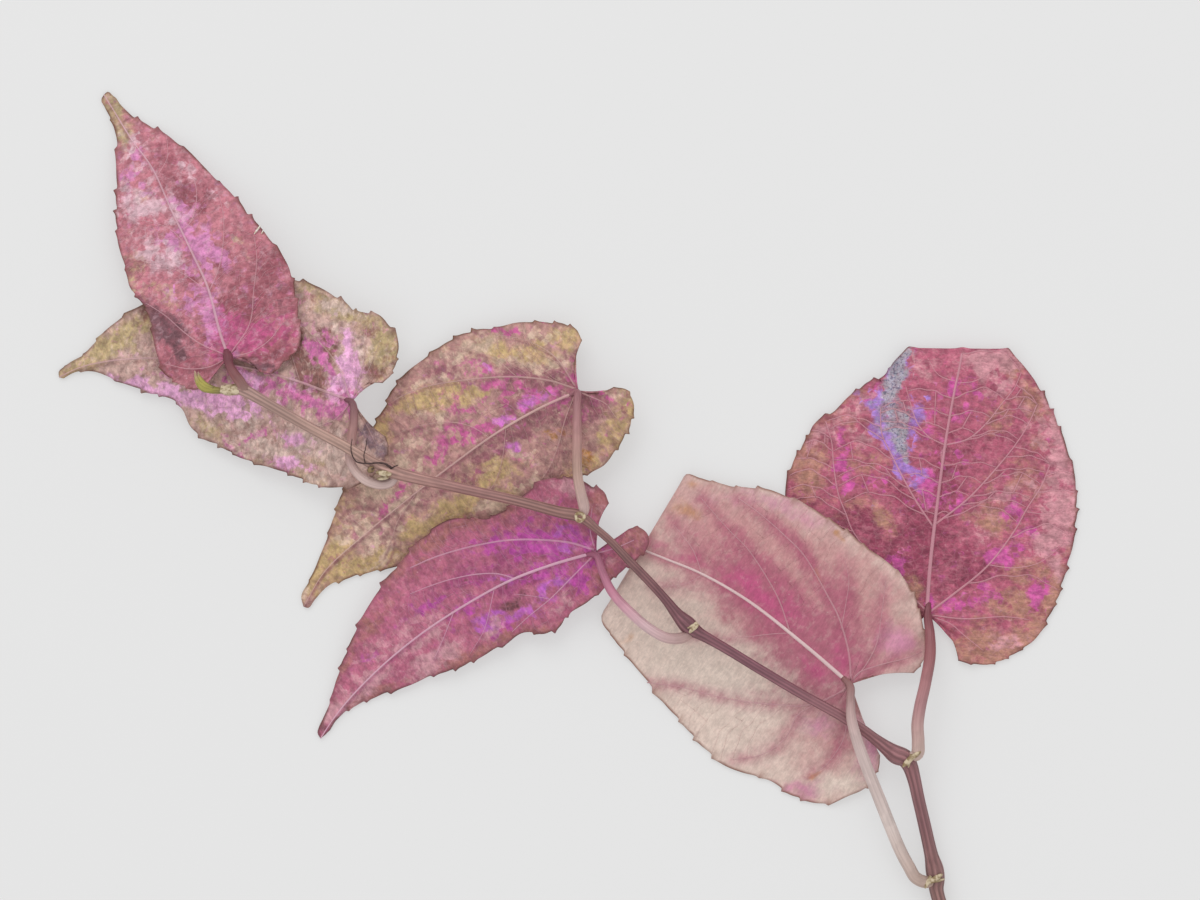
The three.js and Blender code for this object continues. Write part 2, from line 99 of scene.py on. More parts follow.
# Ladder veins in mm: shortest, longest, how far one may slant, how far it stays from other veins, and
# how long it is at least where a link joins it to the one before
RUNG_SHORTEST = 1.6
RUNG_LONGEST = 26
RUNG_SLANT = 6
RUNG_CLEAR = 0.6
RUNG_LINKED = 5

# Side and ladder veins in mm: spacing of their points, and how far a ladder vein climbs
SIDE_SPACING = 1.2
RUNG_SPACING = 0.8
RUNG_RISE = 1.2

# Relief in mm: how far from the finest and from the main veins the blade goes on sinking, how far from
# its margin the relief fades, and how deep a crease is
POCKET = 1.3
HOLLOW = 2.2
RIM = 2.5
CREASE_DEPTH = 0.45

# Shade painted into the blade's colour, in mm: shift and width of the band beside the ladder veins, which
# is partly pigment, shift of the painted shade below the other veins, and its width at the midrib and at
# the side veins, which get this share of it
RUNG_SHIFT = 0.45
RUNG_WIDTH = 0.6
LEE_SHIFT = 0.75
LEE_RIB = 0.6
LEE_SIDES = 0.45
LEE_SHARE = 0.7

# Smooth noise: corners of its lattice each way, and a shift that keeps all places above zero
LATTICE = 64
NOISE_SHIFT = 1000

# Cells of the fine net to the metre
NET_CELLS = 520.0

# Stage, in metres: half the floor's width, its depth below the shoot, its glow, the world's light, the
# camera's height, the height of the plane that fills its frame, and its sensor in mm
FLOOR_SPAN = 3.0
FLOOR_DEPTH = 0.0003
FLOOR_GLOW = 0.444
WORLD_LIGHT = 0.84
CAMERA_HEIGHT = 4.0
SHARP_HEIGHT = 0.008
SENSOR = 36.0

# One entry for each blade. Points are x, y and, outside the veins, height.
# fold: plan line past which the tip is rolled under. rib: from the stalk to the tip. right, left: the
# margin of each half, from its lobe to the tip. teeth: stretches of the grid along a margin, of which the
# first ones, fan in number, start at the foot of the rib. points: teeth of each margin. bow: how far the
# first rows of each half curve sideways. rib_width: radius of the midrib at its start and end. veins:
# lines with the radius where each starts. ladders: pairs that ladder veins join, each a vein's place in
# that list, -1 for the midrib or a side for its margin. rung: distance from one ladder vein to the next.
# crease: a pressed-in oval as x, y, two half axes and turn in degrees.
LEAVES = {}
LEAVES["leaf_1"] = {
    "slot": "beige_blade", "teeth": 18, "fan": 7, "points": 12, "rung": 5, "bow": (4, 1.5),
    "rib_width": (0.9, 0.45), "fold": [[690, 477], [605, 619]],
    "rib": [[850, 684, 6.2], [801, 642, 7], [747, 600, 6.8], [700, 573, 6], [666, 559, 5], [640, 548, 4.3],
        [612, 530, 4], [586, 508, 3.6]],
    "right": [[914, 673, 5], [925, 657, 4.6], [925, 637, 4.2], [919, 611, 4.3], [909, 587, 4.9],
        [892, 566, 5.2], [868, 549, 5.1], [839, 526, 4.6], [803, 504, 3.6], [770, 491, 3], [728, 486, 2.7],
        [700, 478, 2.9], [687, 474, 3.1], [664, 486, 3.1], [635, 499, 3.2], [606, 505, 3.4],
        [586, 508, 3.6]],
    "left": [[880, 756, 3.4], [878, 770, 2.8], [866, 788, 2], [850, 795, 1.4], [826, 804, 0.6],
        [802, 799, -0.4], [788, 793, -0.8], [771, 781, -1.2], [744, 773, -1.6], [722, 763, -1.8],
        [705, 748, -1.8], [689, 731, -1.6], [662, 699, -1], [633, 663, 0.2], [613, 637, 1.8],
        [602, 622, 3.1], [604, 592, 3.1], [603, 562, 3.2], [591, 535, 3.4], [586, 508, 3.6]],
    "veins": [
        ([[851, 680], [849, 654], [839, 618], [830, 600], [803, 554], [783, 534], [759, 513], [738, 498]],
         0.55),
        ([[790, 632], [778, 598], [759, 565], [746, 547], [728, 529], [701, 498]], 0.4),
        ([[702, 575], [694, 552], [683, 536], [672, 523]], 0.3),
        ([[853, 680], [866, 665], [877, 643], [881, 620], [886, 581]], 0.35),
        ([[853, 681], [857, 674], [880, 665], [908, 658], [922, 652]], 0.4),
        ([[847, 688], [826, 700], [803, 706], [781, 705], [746, 702], [714, 696], [679, 687], [647, 683]],
         0.4),
        ([[846, 690], [812, 706], [797, 716], [790, 731], [779, 745], [759, 756], [733, 760]], 0.35),
        ([[848, 692], [847, 716], [845, 736], [834, 756], [822, 769], [808, 777]], 0.35),
        ([[790, 633], [772, 634], [746, 637], [718, 638], [690, 636]], 0.25),
        ([[702, 575], [688, 583], [672, 586], [655, 586]], 0.22),
        ([[841, 630], [846, 603], [849, 581], [845, 560]], 0.25)],
    "ladders": [(0, 1), (1, 2), (5, 6), (6, 7), (0, "right"), (5, "left")],
}
LEAVES["leaf_2"] = {
    "slot": "crimson_blade", "teeth": 18, "fan": 7, "points": 16, "rung": 4.8, "bow": (7, 0),
    "rib_width": (0.9, 0.5), "fold": [[907, 351.5], [1010, 353]],
    "rib": [[927, 614, 2.2], [931, 560, 3.4], [938, 500, 4.6], [946, 440, 5.2], [954, 395, 4.8],
        [963, 347, 3.9], [962, 322, 3.6], [960, 300, 3.4]],
    "right": [[959, 661, 1.4], [974, 664, 0.8], [990, 664, 0.2], [1009, 657, -0.3], [1033, 641, -0.6],
        [1048, 619, -0.8], [1058, 598, -0.8], [1065, 573, -0.7], [1072, 550, -0.6], [1076, 522, -0.5],
        [1077, 500, -0.5], [1075, 475, -0.4], [1068, 450, -0.2], [1058, 424, 0.1], [1046, 399, 0.6],
        [1035, 381, 1.3], [1024, 366, 2.1], [1011, 350, 3.1], [1000, 332, 3.1], [984, 317, 3.2],
        [970, 306, 3.3], [960, 300, 3.4]],
    "left": [[882, 651, 1], [868, 654, 0.6], [850, 650, 0.4], [832, 637, 0.2], [815, 615, 0], [802, 590, 0],
        [793, 560, 0], [787, 530, 0], [786, 500, 0.1], [789, 475, 0.4], [796, 459, 0.7], [805, 443, 1],
        [816, 424, 1.3], [834, 412, 1.6], [851, 396, 1.9], [867, 384, 2.1], [885, 376, 2.4], [894, 362, 2.7],
        [907, 348, 3.1], [928, 325, 3.1], [943, 311, 3.2], [960, 300, 3.4]],
    "veins": [
        ([[933, 526], [917, 502], [904, 479], [891, 453], [882, 433], [881, 408]], 0.5),
        ([[928, 612], [890, 575], [854, 533], [846, 513], [839, 495], [834, 466], [832, 442], [826, 421]],
         0.5),
        ([[947, 446], [928, 436], [917, 422], [911, 404], [906, 386]], 0.35),
        ([[936, 524], [968, 499], [997, 468], [1015, 446], [1028, 426], [1038, 404]], 0.5),
        ([[929, 613], [953, 595], [988, 566], [1015, 531], [1028, 508], [1042, 486], [1051, 464]], 0.55),
        ([[946, 445], [968, 439], [986, 424], [1002, 404], [1015, 388], [1022, 372]], 0.4),
        ([[958, 382], [939, 375], [928, 358]], 0.25),
        ([[958, 383], [975, 381], [991, 371], [1000, 358]], 0.25),
        ([[930, 615], [964, 619], [1006, 617], [1030, 620]], 0.4),
        ([[935, 618], [951, 624], [964, 635], [984, 651]], 0.3),
        ([[989, 565], [1015, 568], [1042, 562], [1064, 544]], 0.28),
        ([[1027, 512], [1046, 514], [1062, 512], [1072, 503]], 0.25)],
    "ladders": [(-1, 0), (0, 1), (1, "left"), (-1, 3), (3, 4), (4, "right"), (2, 0), (5, 3), (-1, 5),
        (-1, 2)],
}
LEAVES["leaf_3"] = {
    "slot": "magenta_blade", "teeth": 22, "fan": 8, "points": 16, "rung": 3.6, "bow": (5, 0),
    "rib_width": (0.7, 0.25),
    "rib": [[596, 552, 9.2], [551, 565, 9.2], [509, 581, 8.4], [465, 605, 7.2], [421, 634, 5.9],
        [383, 665, 4.4], [350, 698, 2.4], [331, 722, 0.9], [320, 739, 0.4]],
    "right": [[609, 503, 9.5], [603, 492, 9.7], [592, 487, 9.6], [569, 478, 9.2], [546, 481, 8.8],
        [529, 491, 8.5], [513, 505, 8.2], [487, 519, 7.6], [450, 520, 6.8], [426, 536, 6.2], [410, 551, 5.8],
        [399, 565, 5.4], [382, 586, 4.8], [368, 609, 4.2], [356, 631, 3.4], [347, 652, 2.7], [337, 679, 1.8],
        [331, 700, 1.1], [323, 719, 0.6], [317, 733, 0.3], [320, 739, 0.4]],
    "left": [[629, 529, 9], [638, 527, 9], [646, 533, 8.8], [648, 542, 8.6], [641, 554, 8.3], [629, 565, 8],
        [615, 576, 7.7], [602, 589, 7.2], [587, 602, 6.6], [570, 612, 6], [556, 628, 5.2], [545, 633, 5],
        [522, 632, 4.7], [507, 641, 4.3], [485, 654, 3.7], [456, 668, 2.9], [432, 675, 2.3], [410, 684, 1.7],
        [376, 696, 0.8], [350, 708, 0.4], [335, 720, 0.2], [326, 734, 0.2], [320, 739, 0.4]],
    "veins": [
        ([[594, 550], [572, 543], [543, 540], [510, 540], [483, 544], [454, 551], [430, 559], [410, 568]],
         0.6),
        ([[516, 579], [499, 574], [479, 574], [452, 579], [430, 586], [410, 594]], 0.4),
        ([[594, 555], [586, 563], [572, 577], [550, 599], [528, 617], [512, 632]], 0.4),
        ([[550, 599], [532, 596], [514, 594]], 0.2),
        ([[454, 611], [443, 639], [434, 659]], 0.25),
        ([[494, 590], [484, 630], [470, 654]], 0.22),
        ([[595, 549], [590, 530], [592, 508]], 0.35),
        ([[598, 553], [616, 548], [634, 540]], 0.35)],
    "ladders": [(-1, 0), (0, "right"), (-1, 2), (-1, 1), (2, "left")],
}
LEAVES["leaf_4"] = {
    "slot": "olive_blade", "teeth": 22, "fan": 8, "points": 16, "rung": 3.6, "bow": (5.5, 4),
    "rib_width": (0.65, 0.12), "crease": (363.5, 541, 32, 28, 75),
    "rib": [[578, 391, 9.5], [540, 408, 9.3], [495, 434, 8], [449, 467, 6.2], [404, 502, 4.4],
        [358, 540, 2.7], [324, 572, 1.2], [303, 607, 0.4]],
    "right": [[582, 340, 7], [576, 330, 6.4], [566, 325, 6], [547, 323, 5.4], [518, 323, 4.6],
        [497, 328, 4.2], [468, 333, 3.6], [453, 339, 3.3], [437, 350, 3], [420, 362, 2.8], [405, 375, 2.8],
        [392, 391, 2.8], [385, 408, 2.8], [375, 424, 2.8], [364, 442, 2.7], [353, 465, 2.4], [343, 490, 1.8],
        [335, 514, 1.2], [327, 538, 0.5], [318, 562, 0.1], [311, 578, 0.1], [301, 596, 0.2],
        [303, 607, 0.4]],
    "left": [[614, 387, 9.4], [625, 390, 9.2], [632, 399, 9], [633, 412, 8.6], [627, 430, 8],
        [618, 446, 7.4], [604, 464, 6.6], [589, 472, 6], [575, 480, 5.2], [555, 494, 4.4], [530, 508, 3.6],
        [500, 524, 2.9], [465, 541, 2.2], [430, 556, 1.4], [400, 565, 0.8], [369, 572, 0.3], [343, 579, 0.1],
        [326, 587, 0.1], [314, 600, 0.2], [308, 608, 0.3], [303, 607, 0.4]],
    "veins": [
        ([[576, 389], [551, 381], [517, 377], [484, 378], [451, 382], [428, 386], [406, 394], [392, 401]],
         0.55),
        ([[575, 386], [557, 359], [539, 346], [517, 338], [495, 335]], 0.4),
        ([[517, 377], [495, 359], [472, 350], [450, 346]], 0.22),
        ([[490, 438], [470, 426], [448, 422], [428, 424], [410, 428], [395, 435]], 0.28),
        ([[575, 394], [565, 420], [558, 446], [550, 466], [541, 481]], 0.35),
        ([[506, 427], [502, 460], [494, 484], [480, 500]], 0.22),
        ([[368, 531], [352, 518], [346, 508]], 0.2),
        ([[415, 495], [398, 520], [391, 540], [384, 557]], 0.22),
        ([[579, 392], [591, 397], [606, 404], [616, 418]], 0.35)],
    "ladders": [(-1, 0), (0, 1), (1, "right"), (0, 3), (-1, 4), (4, "left"), (8, "left"), (3, "right")],
}
LEAVES["leaf_5"] = {
    "slot": "lilac_blade", "teeth": 22, "fan": 8, "points": 17, "rung": 3.6, "bow": (7, 3),
    "rib_width": (0.65, 0.3),
    "rib": [[352, 401, 11], [327, 392, 11], [300, 382, 10.6], [250, 368, 9.6], [200, 361, 8],
        [150, 358, 5.8], [108, 361, 3.2], [80, 367, 1.4], [58, 377, 0.4]],
    "right": [[383, 383, 10], [391, 374, 9.6], [396, 360, 9], [397, 343, 8.4], [389, 326, 7.8],
        [377, 315, 7.4], [356, 312, 7], [340, 300, 6.8], [322, 290, 6.6], [304, 283, 6.4], [290, 279, 6.2],
        [268, 273, 6], [240, 270, 5.6], [210, 275, 5.2], [178, 287, 4.4], [143, 305, 3.4], [121, 318, 2.6],
        [101, 335, 1.8], [84, 354, 0.9], [68, 364, 0.4], [58, 371, 0.3], [58, 377, 0.4]],
    "left": [[386, 437, 10.4], [388, 447, 10.2], [384, 459, 9.9], [377, 471, 9.6], [365, 480, 9.2],
        [352, 486, 8.8], [335, 487, 8], [318, 485, 7.2], [296, 476, 6.2], [272, 467, 5.2], [240, 457, 4],
        [222, 446, 3.4], [203, 437, 3], [191, 427, 2.8], [183, 409, 2.8], [171, 398, 2.6], [150, 392, 2.2],
        [128, 384, 1.6], [114, 379, 1.2], [92, 370, 0.6], [72, 372, 0.3], [62, 378, 0.3], [58, 377, 0.4]],
    "veins": [
        ([[350, 399], [341, 372], [330, 354], [317, 340], [303, 326]], 0.5),
        ([[353, 399], [361, 372], [366, 343], [367, 326]], 0.4),
        ([[356, 396], [364, 380], [379, 345]], 0.22),
        ([[350, 404], [334, 420], [306, 428], [277, 428], [250, 429], [222, 431]], 0.4),
        ([[158, 357], [146, 371], [127, 378]], 0.22),
        ([[352, 406], [354, 430], [350, 455], [338, 475]], 0.3),
        ([[356, 406], [366, 424], [376, 444]], 0.3),
        ([[300, 381], [290, 350], [280, 320]], 0.25)],
    "ladders": [(-1, 0), (0, 1), (1, "right"), (-1, 3), (3, "left"), (3, 5)],
}
LEAVES["leaf_6"] = {
    "slot": "rose_blade", "teeth": 22, "fan": 7, "points": 13, "rung": 3.6, "bow": (5, 0),
    "rib_width": (0.65, 0.25),
    "rib": [[229, 357, 14.3], [221, 334, 14.2], [208, 287, 13.2], [193, 254, 11.8], [172, 211, 9.2],
        [152, 168, 6.2], [131, 139, 3.4], [116, 115, 1.4], [103, 94, 0.4]],
    "right": [[260, 372, 13.2], [271, 373, 13], [278, 369, 12.8], [283, 361, 12.6], [290, 356, 12.4],
        [297, 351, 12.2], [300, 338, 11.8], [298, 318, 11.2], [295, 295, 10.6], [290, 272, 9.8],
        [279, 252, 8.8], [264, 233, 7.8], [251, 219, 7], [234, 197, 5.8], [216, 180, 4.8], [203, 167, 4],
        [188, 152, 3], [161, 133, 1.6], [137, 120, 0.8], [121, 107, 0.4], [112, 95, 0.2], [107, 91, 0.3],
        [103, 94, 0.4]],
    "left": [[205, 387, 12.6], [196, 389, 12.4], [187, 387, 12.2], [176, 381, 12], [165, 372, 11.8],
        [159, 359, 11.4], [156, 346, 11], [153, 330, 10.4], [149, 314, 9.6], [142, 301, 8.8],
        [131, 288, 7.6], [127, 270, 6.8], [122, 256, 6.2], [118, 238, 5.6], [117, 222, 5], [117, 200, 4.3],
        [117, 180, 3.6], [117, 160, 2.7], [117, 143, 1.8], [114, 127, 1.1], [107, 111, 0.5],
        [100.5, 99, 0.2], [103, 94, 0.4]],
    "veins": [
        ([[182, 231], [191, 222], [196, 204], [196, 187], [190, 171]], 0.32),
        ([[210, 291], [219, 269], [224, 236], [223, 213], [219, 196]], 0.32),
        ([[231, 354], [250, 324], [254, 291], [257, 258], [254, 236]], 0.35),
        ([[233, 357], [252, 352], [270, 340], [284, 322]], 0.32),
        ([[226, 355], [201, 344], [183, 331], [166, 316], [146, 303]], 0.4),
        ([[226, 359], [210, 367], [190, 369], [166, 364]], 0.35),
        ([[187, 246], [170, 229], [150, 222], [130, 218]], 0.25),
        ([[157, 176], [167, 157], [166, 135]], 0.22),
        ([[208, 291], [180, 272], [152, 262], [132, 258]], 0.25)],
    "ladders": [(-1, 4), (4, 5), (-1, 2), (2, "right"), (1, 2), (6, "left"), (8, "left"), (0, 1)],
}

# Markings: for each pigment, patches as x, y, half length, half width, turn in degrees and strength.
# A few paint shade and light instead of pigment, as the comments above them say.
PIGMENTS = ("warm", "deep", "bright", "pale", "special", "accent")
MARKINGS = {}
MARKINGS["leaf_1"] = {
    "warm": [(745, 545, 95, 42, 30, 1), (800, 565, 72, 45, 35, 1), (850, 600, 50, 46, 50, 1),
        (888, 640, 36, 34, 0, 0.85), (700, 506, 42, 26, 20, 0.4), (835, 735, 52, 40, 0, 0.7),
        (805, 795, 44, 12, 10, 0.65), (650, 540, 42, 14, 28, 0.7), (745, 622, 40, 12, 36, 0.75),
        (890, 588, 22, 16, 50, 0.5), (850, 565, 14, 14, 0, 0.6), (700, 600, 34, 6, 12, 0.45)],
    "deep": [(788, 620, 85, 24, 36, 1.2), (838, 650, 24, 40, 0, 0.95), (764, 572, 50, 13, 32, 0.85),
        (838, 597, 30, 14, 50, 0.8), (802, 666, 50, 18, 38, 0.95), (775, 690, 40, 6, 3, 0.5),
        (738, 540, 32, 8, 42, 0.5), (800, 555, 46, 8, 52, 0.75), (835, 745, 8, 22, 0, 0.5),
        (700, 563, 26, 7, 24, 0.7), (872, 628, 16, 20, 0, 0.5), (818, 722, 14, 7, 40, 0.3)],
    "bright": [(764, 598, 34, 12, 35, 0.85), (845, 662, 8, 22, -10, 0.6), (744, 587, 26, 8, 30, 0.7),
        (690, 560, 26, 6, 24, 0.45), (655, 546, 18, 5, 20, 0.45), (818, 668, 18, 9, 40, 0.6)],
    # The pale patch at 695, 668 is cream pigment made stronger as painted light where the stem casts its
    # shadow, and the one at 868, 746 is painted light over the shade beside the stem.
    "pale": [(695, 668, 86, 34, 38, 0.75), (735, 740, 60, 24, 28, 0.5), (895, 570, 22, 10, 40, 0.4),
        (840, 788, 26, 13, 0, 0.85), (868, 746, 10, 22, 0, 0.85)],
    "special": [(895, 640, 16, 12, 0, 0.75), (869, 750, 12, 28, 0, 0.75), (800, 788, 18, 7, 10, 0.65),
        (816, 725, 13, 10, 0, 0.65), (788, 506, 42, 8, 25, 0.55), (740, 500, 30, 6, 10, 0.4)],
    "accent": [(684, 507, 13, 8, 20, 0.6), (692, 482, 8, 4, 0, 0.55), (812, 776, 4, 3, 0, 0.8),
        (820, 574, 7, 4, 60, 0.5), (625, 636, 6, 4, 0, 0.5), (841, 537, 3.5, 2.5, 0, 0.8)],
}
MARKINGS["leaf_2"] = {
    "warm": [(808, 462, 16, 30, 0, 1.05), (822, 420, 18, 14, -40, 0.7), (866, 463, 18, 12, 0, 0.5),
        (880, 517, 22, 11, 35, 0.9), (848, 505, 18, 10, 30, 0.6), (990, 520, 20, 12, 0, 0.8),
        (1026, 478, 18, 16, 0, 0.8), (1024, 640, 44, 14, -28, 1.1), (985, 648, 30, 16, 0, 1),
        (1058, 598, 12, 28, 15, 0.9), (1016, 366, 14, 10, 30, 0.8), (1034, 400, 12, 20, -30, 0.8),
        (1070, 530, 7, 40, 0, 0.5), (1030, 572, 22, 10, 0, 0.75), (1014, 603, 24, 12, -20, 1.1),
        (1042, 612, 12, 9, 0, 0.85), (998, 418, 9, 18, 30, 0.7), (985, 480, 16, 9, 0, 0.35),
        (911, 594, 9, 16, 0, 0.95), (840, 400, 20, 9, -30, 0.6), (850, 425, 12, 16, 0, 0.4),
        (1040, 440, 14, 22, 0, 0.5)],
    "deep": [(944, 480, 16, 44, 8, 0.75), (975, 446, 30, 7, -18, 0.6), (928, 537, 22, 24, 0, 0.9),
        (904, 498, 24, 9, 25, 0.7), (914, 552, 24, 24, 0, 1.1), (962, 556, 24, 9, -10, 0.9),
        (905, 540, 16, 22, 0, 0.8), (1000, 440, 22, 5, -30, 0.4), (878, 540, 18, 10, 50, 0.8),
        (972, 574, 22, 9, -20, 0.95), (985, 560, 12, 8, 0, 0.5), (922, 590, 6, 20, 0, 0.8),
        (862, 521, 20, 9, 30, 0.95), (940, 585, 12, 10, 0, 0.6), (1000, 576, 14, 6, 0, 0.45),
        (1012, 600, 14, 10, 0, 0.45), (1040, 610, 12, 9, 0, 0.45)],
    "bright": [(845, 465, 5, 10, 0, 1), (846, 486, 10, 5, -20, 1), (838, 436, 5, 8, 0, 0.6),
        (1015, 512, 6, 10, 10, 1), (1028, 532, 9, 5, 0, 1), (1001, 556, 13, 7, -10, 1.05),
        (1037, 592, 8, 10, 0, 0.95), (953, 606, 18, 8, -25, 0.65), (978, 392, 14, 8, 0, 0.6),
        (945, 388, 12, 9, 0, 0.6), (1054, 556, 7, 6, 0, 0.6), (985, 598, 12, 6, 0, 0.7),
        (930, 604, 5, 7, 0, 0.9), (950, 455, 14, 14, 0, 0.6), (925, 482, 10, 9, 30, 1.1),
        (900, 571, 9, 10, 0, 1), (938, 500, 18, 9, 0, 0.6), (962, 500, 14, 9, -35, 0.55),
        (880, 480, 12, 8, 0, 0.5), (895, 565, 6, 8, 0, 0.7), (925, 425, 10, 14, 0, 0.5),
        (880, 395, 14, 7, -20, 0.5), (945, 412, 12, 8, 0, 0.5)],
    "pale": [(1062, 458, 11, 46, -12, 0.9), (1056, 520, 16, 34, 0, 0.9), (824, 432, 20, 8, -45, 0.7),
        (996, 362, 26, 9, 0, 1.15), (1042, 640, 18, 7, -30, 0.4), (1010, 495, 24, 12, -40, 0.6),
        (1035, 430, 9, 22, -30, 0.5), (862, 404, 20, 10, -35, 0.6), (1048, 541, 18, 13, 0, 1),
        (1059, 570, 8, 14, 0, 0.75), (925, 365, 14, 9, 0, 0.5), (1004, 384, 12, 9, 0, 0.6),
        (985, 535, 14, 6, 0, 0.5), (860, 440, 14, 8, 0, 0.45), (1007, 640, 16, 8, 0, 0.6),
        (1030, 482, 9, 9, 0, 0.7)],
    "special": [(880, 407, 10, 9, 0, 1), (892, 443, 38, 8, 60, 1.05), (906, 468, 15, 8, 40, 0.95),
        (912, 418, 20, 6, 95, 0.85), (892, 372, 16, 8, 115, 0.9), (920, 396, 6, 4, 0, 0.5),
        (905, 365, 8, 6, 0, 0.6)],
    "accent": [(893, 384, 30, 8, 109, 1), (896, 425, 22, 8, 80, 1.05), (903, 447, 12, 5, 60, 0.9),
        (906, 352, 7, 8, 0, 0.95)],
}
MARKINGS["leaf_3"] = {
    "warm": [(425, 545, 28, 9, -30, 0.95), (395, 572, 20, 9, -40, 0.8), (635, 540, 16, 11, -30, 1.1),
        (607, 572, 18, 9, -35, 0.6), (540, 630, 22, 5, -15, 0.85), (566, 622, 16, 6, -20, 0.7),
        (466, 656, 32, 7, -25, 0.95), (352, 704, 20, 7, -40, 0.9), (600, 502, 14, 14, 0, 0.8),
        (500, 640, 20, 6, -25, 0.7), (586, 604, 14, 6, -35, 0.6), (380, 690, 20, 6, -25, 0.9),
        (455, 530, 28, 7, -15, 0.8), (364, 632, 32, 6, -58, 0.7), (345, 672, 20, 6, -65, 0.7),
        (510, 514, 16, 6, -30, 0.8), (420, 570, 22, 8, -30, 0.5), (390, 605, 20, 7, -50, 0.45)],
    "deep": [(528, 556, 52, 9, -8, 0.85), (478, 576, 40, 9, -20, 0.9), (520, 581, 20, 8, -20, 1.05),
        (590, 560, 14, 8, -20, 0.4), (440, 590, 30, 5, -28, 0.4), (505, 532, 20, 7, -10, 0.4),
        (560, 562, 20, 6, -15, 0.6), (500, 600, 18, 6, -20, 0.5)],
    "bright": [(540, 541, 40, 12, -5, 0.95), (580, 578, 15, 9, -40, 0.95), (560, 512, 16, 7, 0, 0.5),
        (500, 543, 28, 8, -8, 0.6), (430, 607, 28, 6, -33, 0.55), (502, 628, 14, 6, -20, 0.7),
        (545, 572, 24, 7, -15, 0.7), (472, 609, 24, 7, -28, 0.5), (480, 584, 9, 5, -20, 0.5),
        (588, 548, 10, 8, 0, 0.6), (368, 662, 14, 5, -40, 0.45)],
    "pale": [(402, 645, 44, 15, -38, 0.55), (432, 662, 24, 9, -28, 0.95), (362, 690, 24, 9, -42, 0.8),
        (334, 713, 13, 8, -60, 1.1), (492, 626, 10, 6, -30, 0.9), (560, 602, 12, 6, -30, 0.6),
        (570, 487, 20, 7, 5, 0.7), (602, 508, 9, 9, 0, 0.45), (545, 503, 14, 7, -30, 0.5),
        (425, 632, 20, 8, -35, 0.6), (375, 676, 18, 7, -38, 0.7), (392, 608, 10, 6, -45, 0.2),
        (450, 640, 16, 6, -28, 0.25), (612, 560, 9, 6, -30, 0.4)],
    "special": [(570, 546, 16, 6, 8, 0.6), (556, 586, 11, 7, -30, 0.85), (523, 615, 14, 6, -30, 0.75),
        (490, 619, 14, 6, -20, 0.75), (500, 578, 14, 4, 5, 0.55), (565, 530, 10, 5, 0, 0.55)],
    "accent": [(514, 602, 14, 6, -10, 0.95), (322, 725, 8, 4, 105, 0.8), (471, 581, 2, 2, 0, 1.1),
        (508, 583, 2, 2, 0, 1.1)],
}
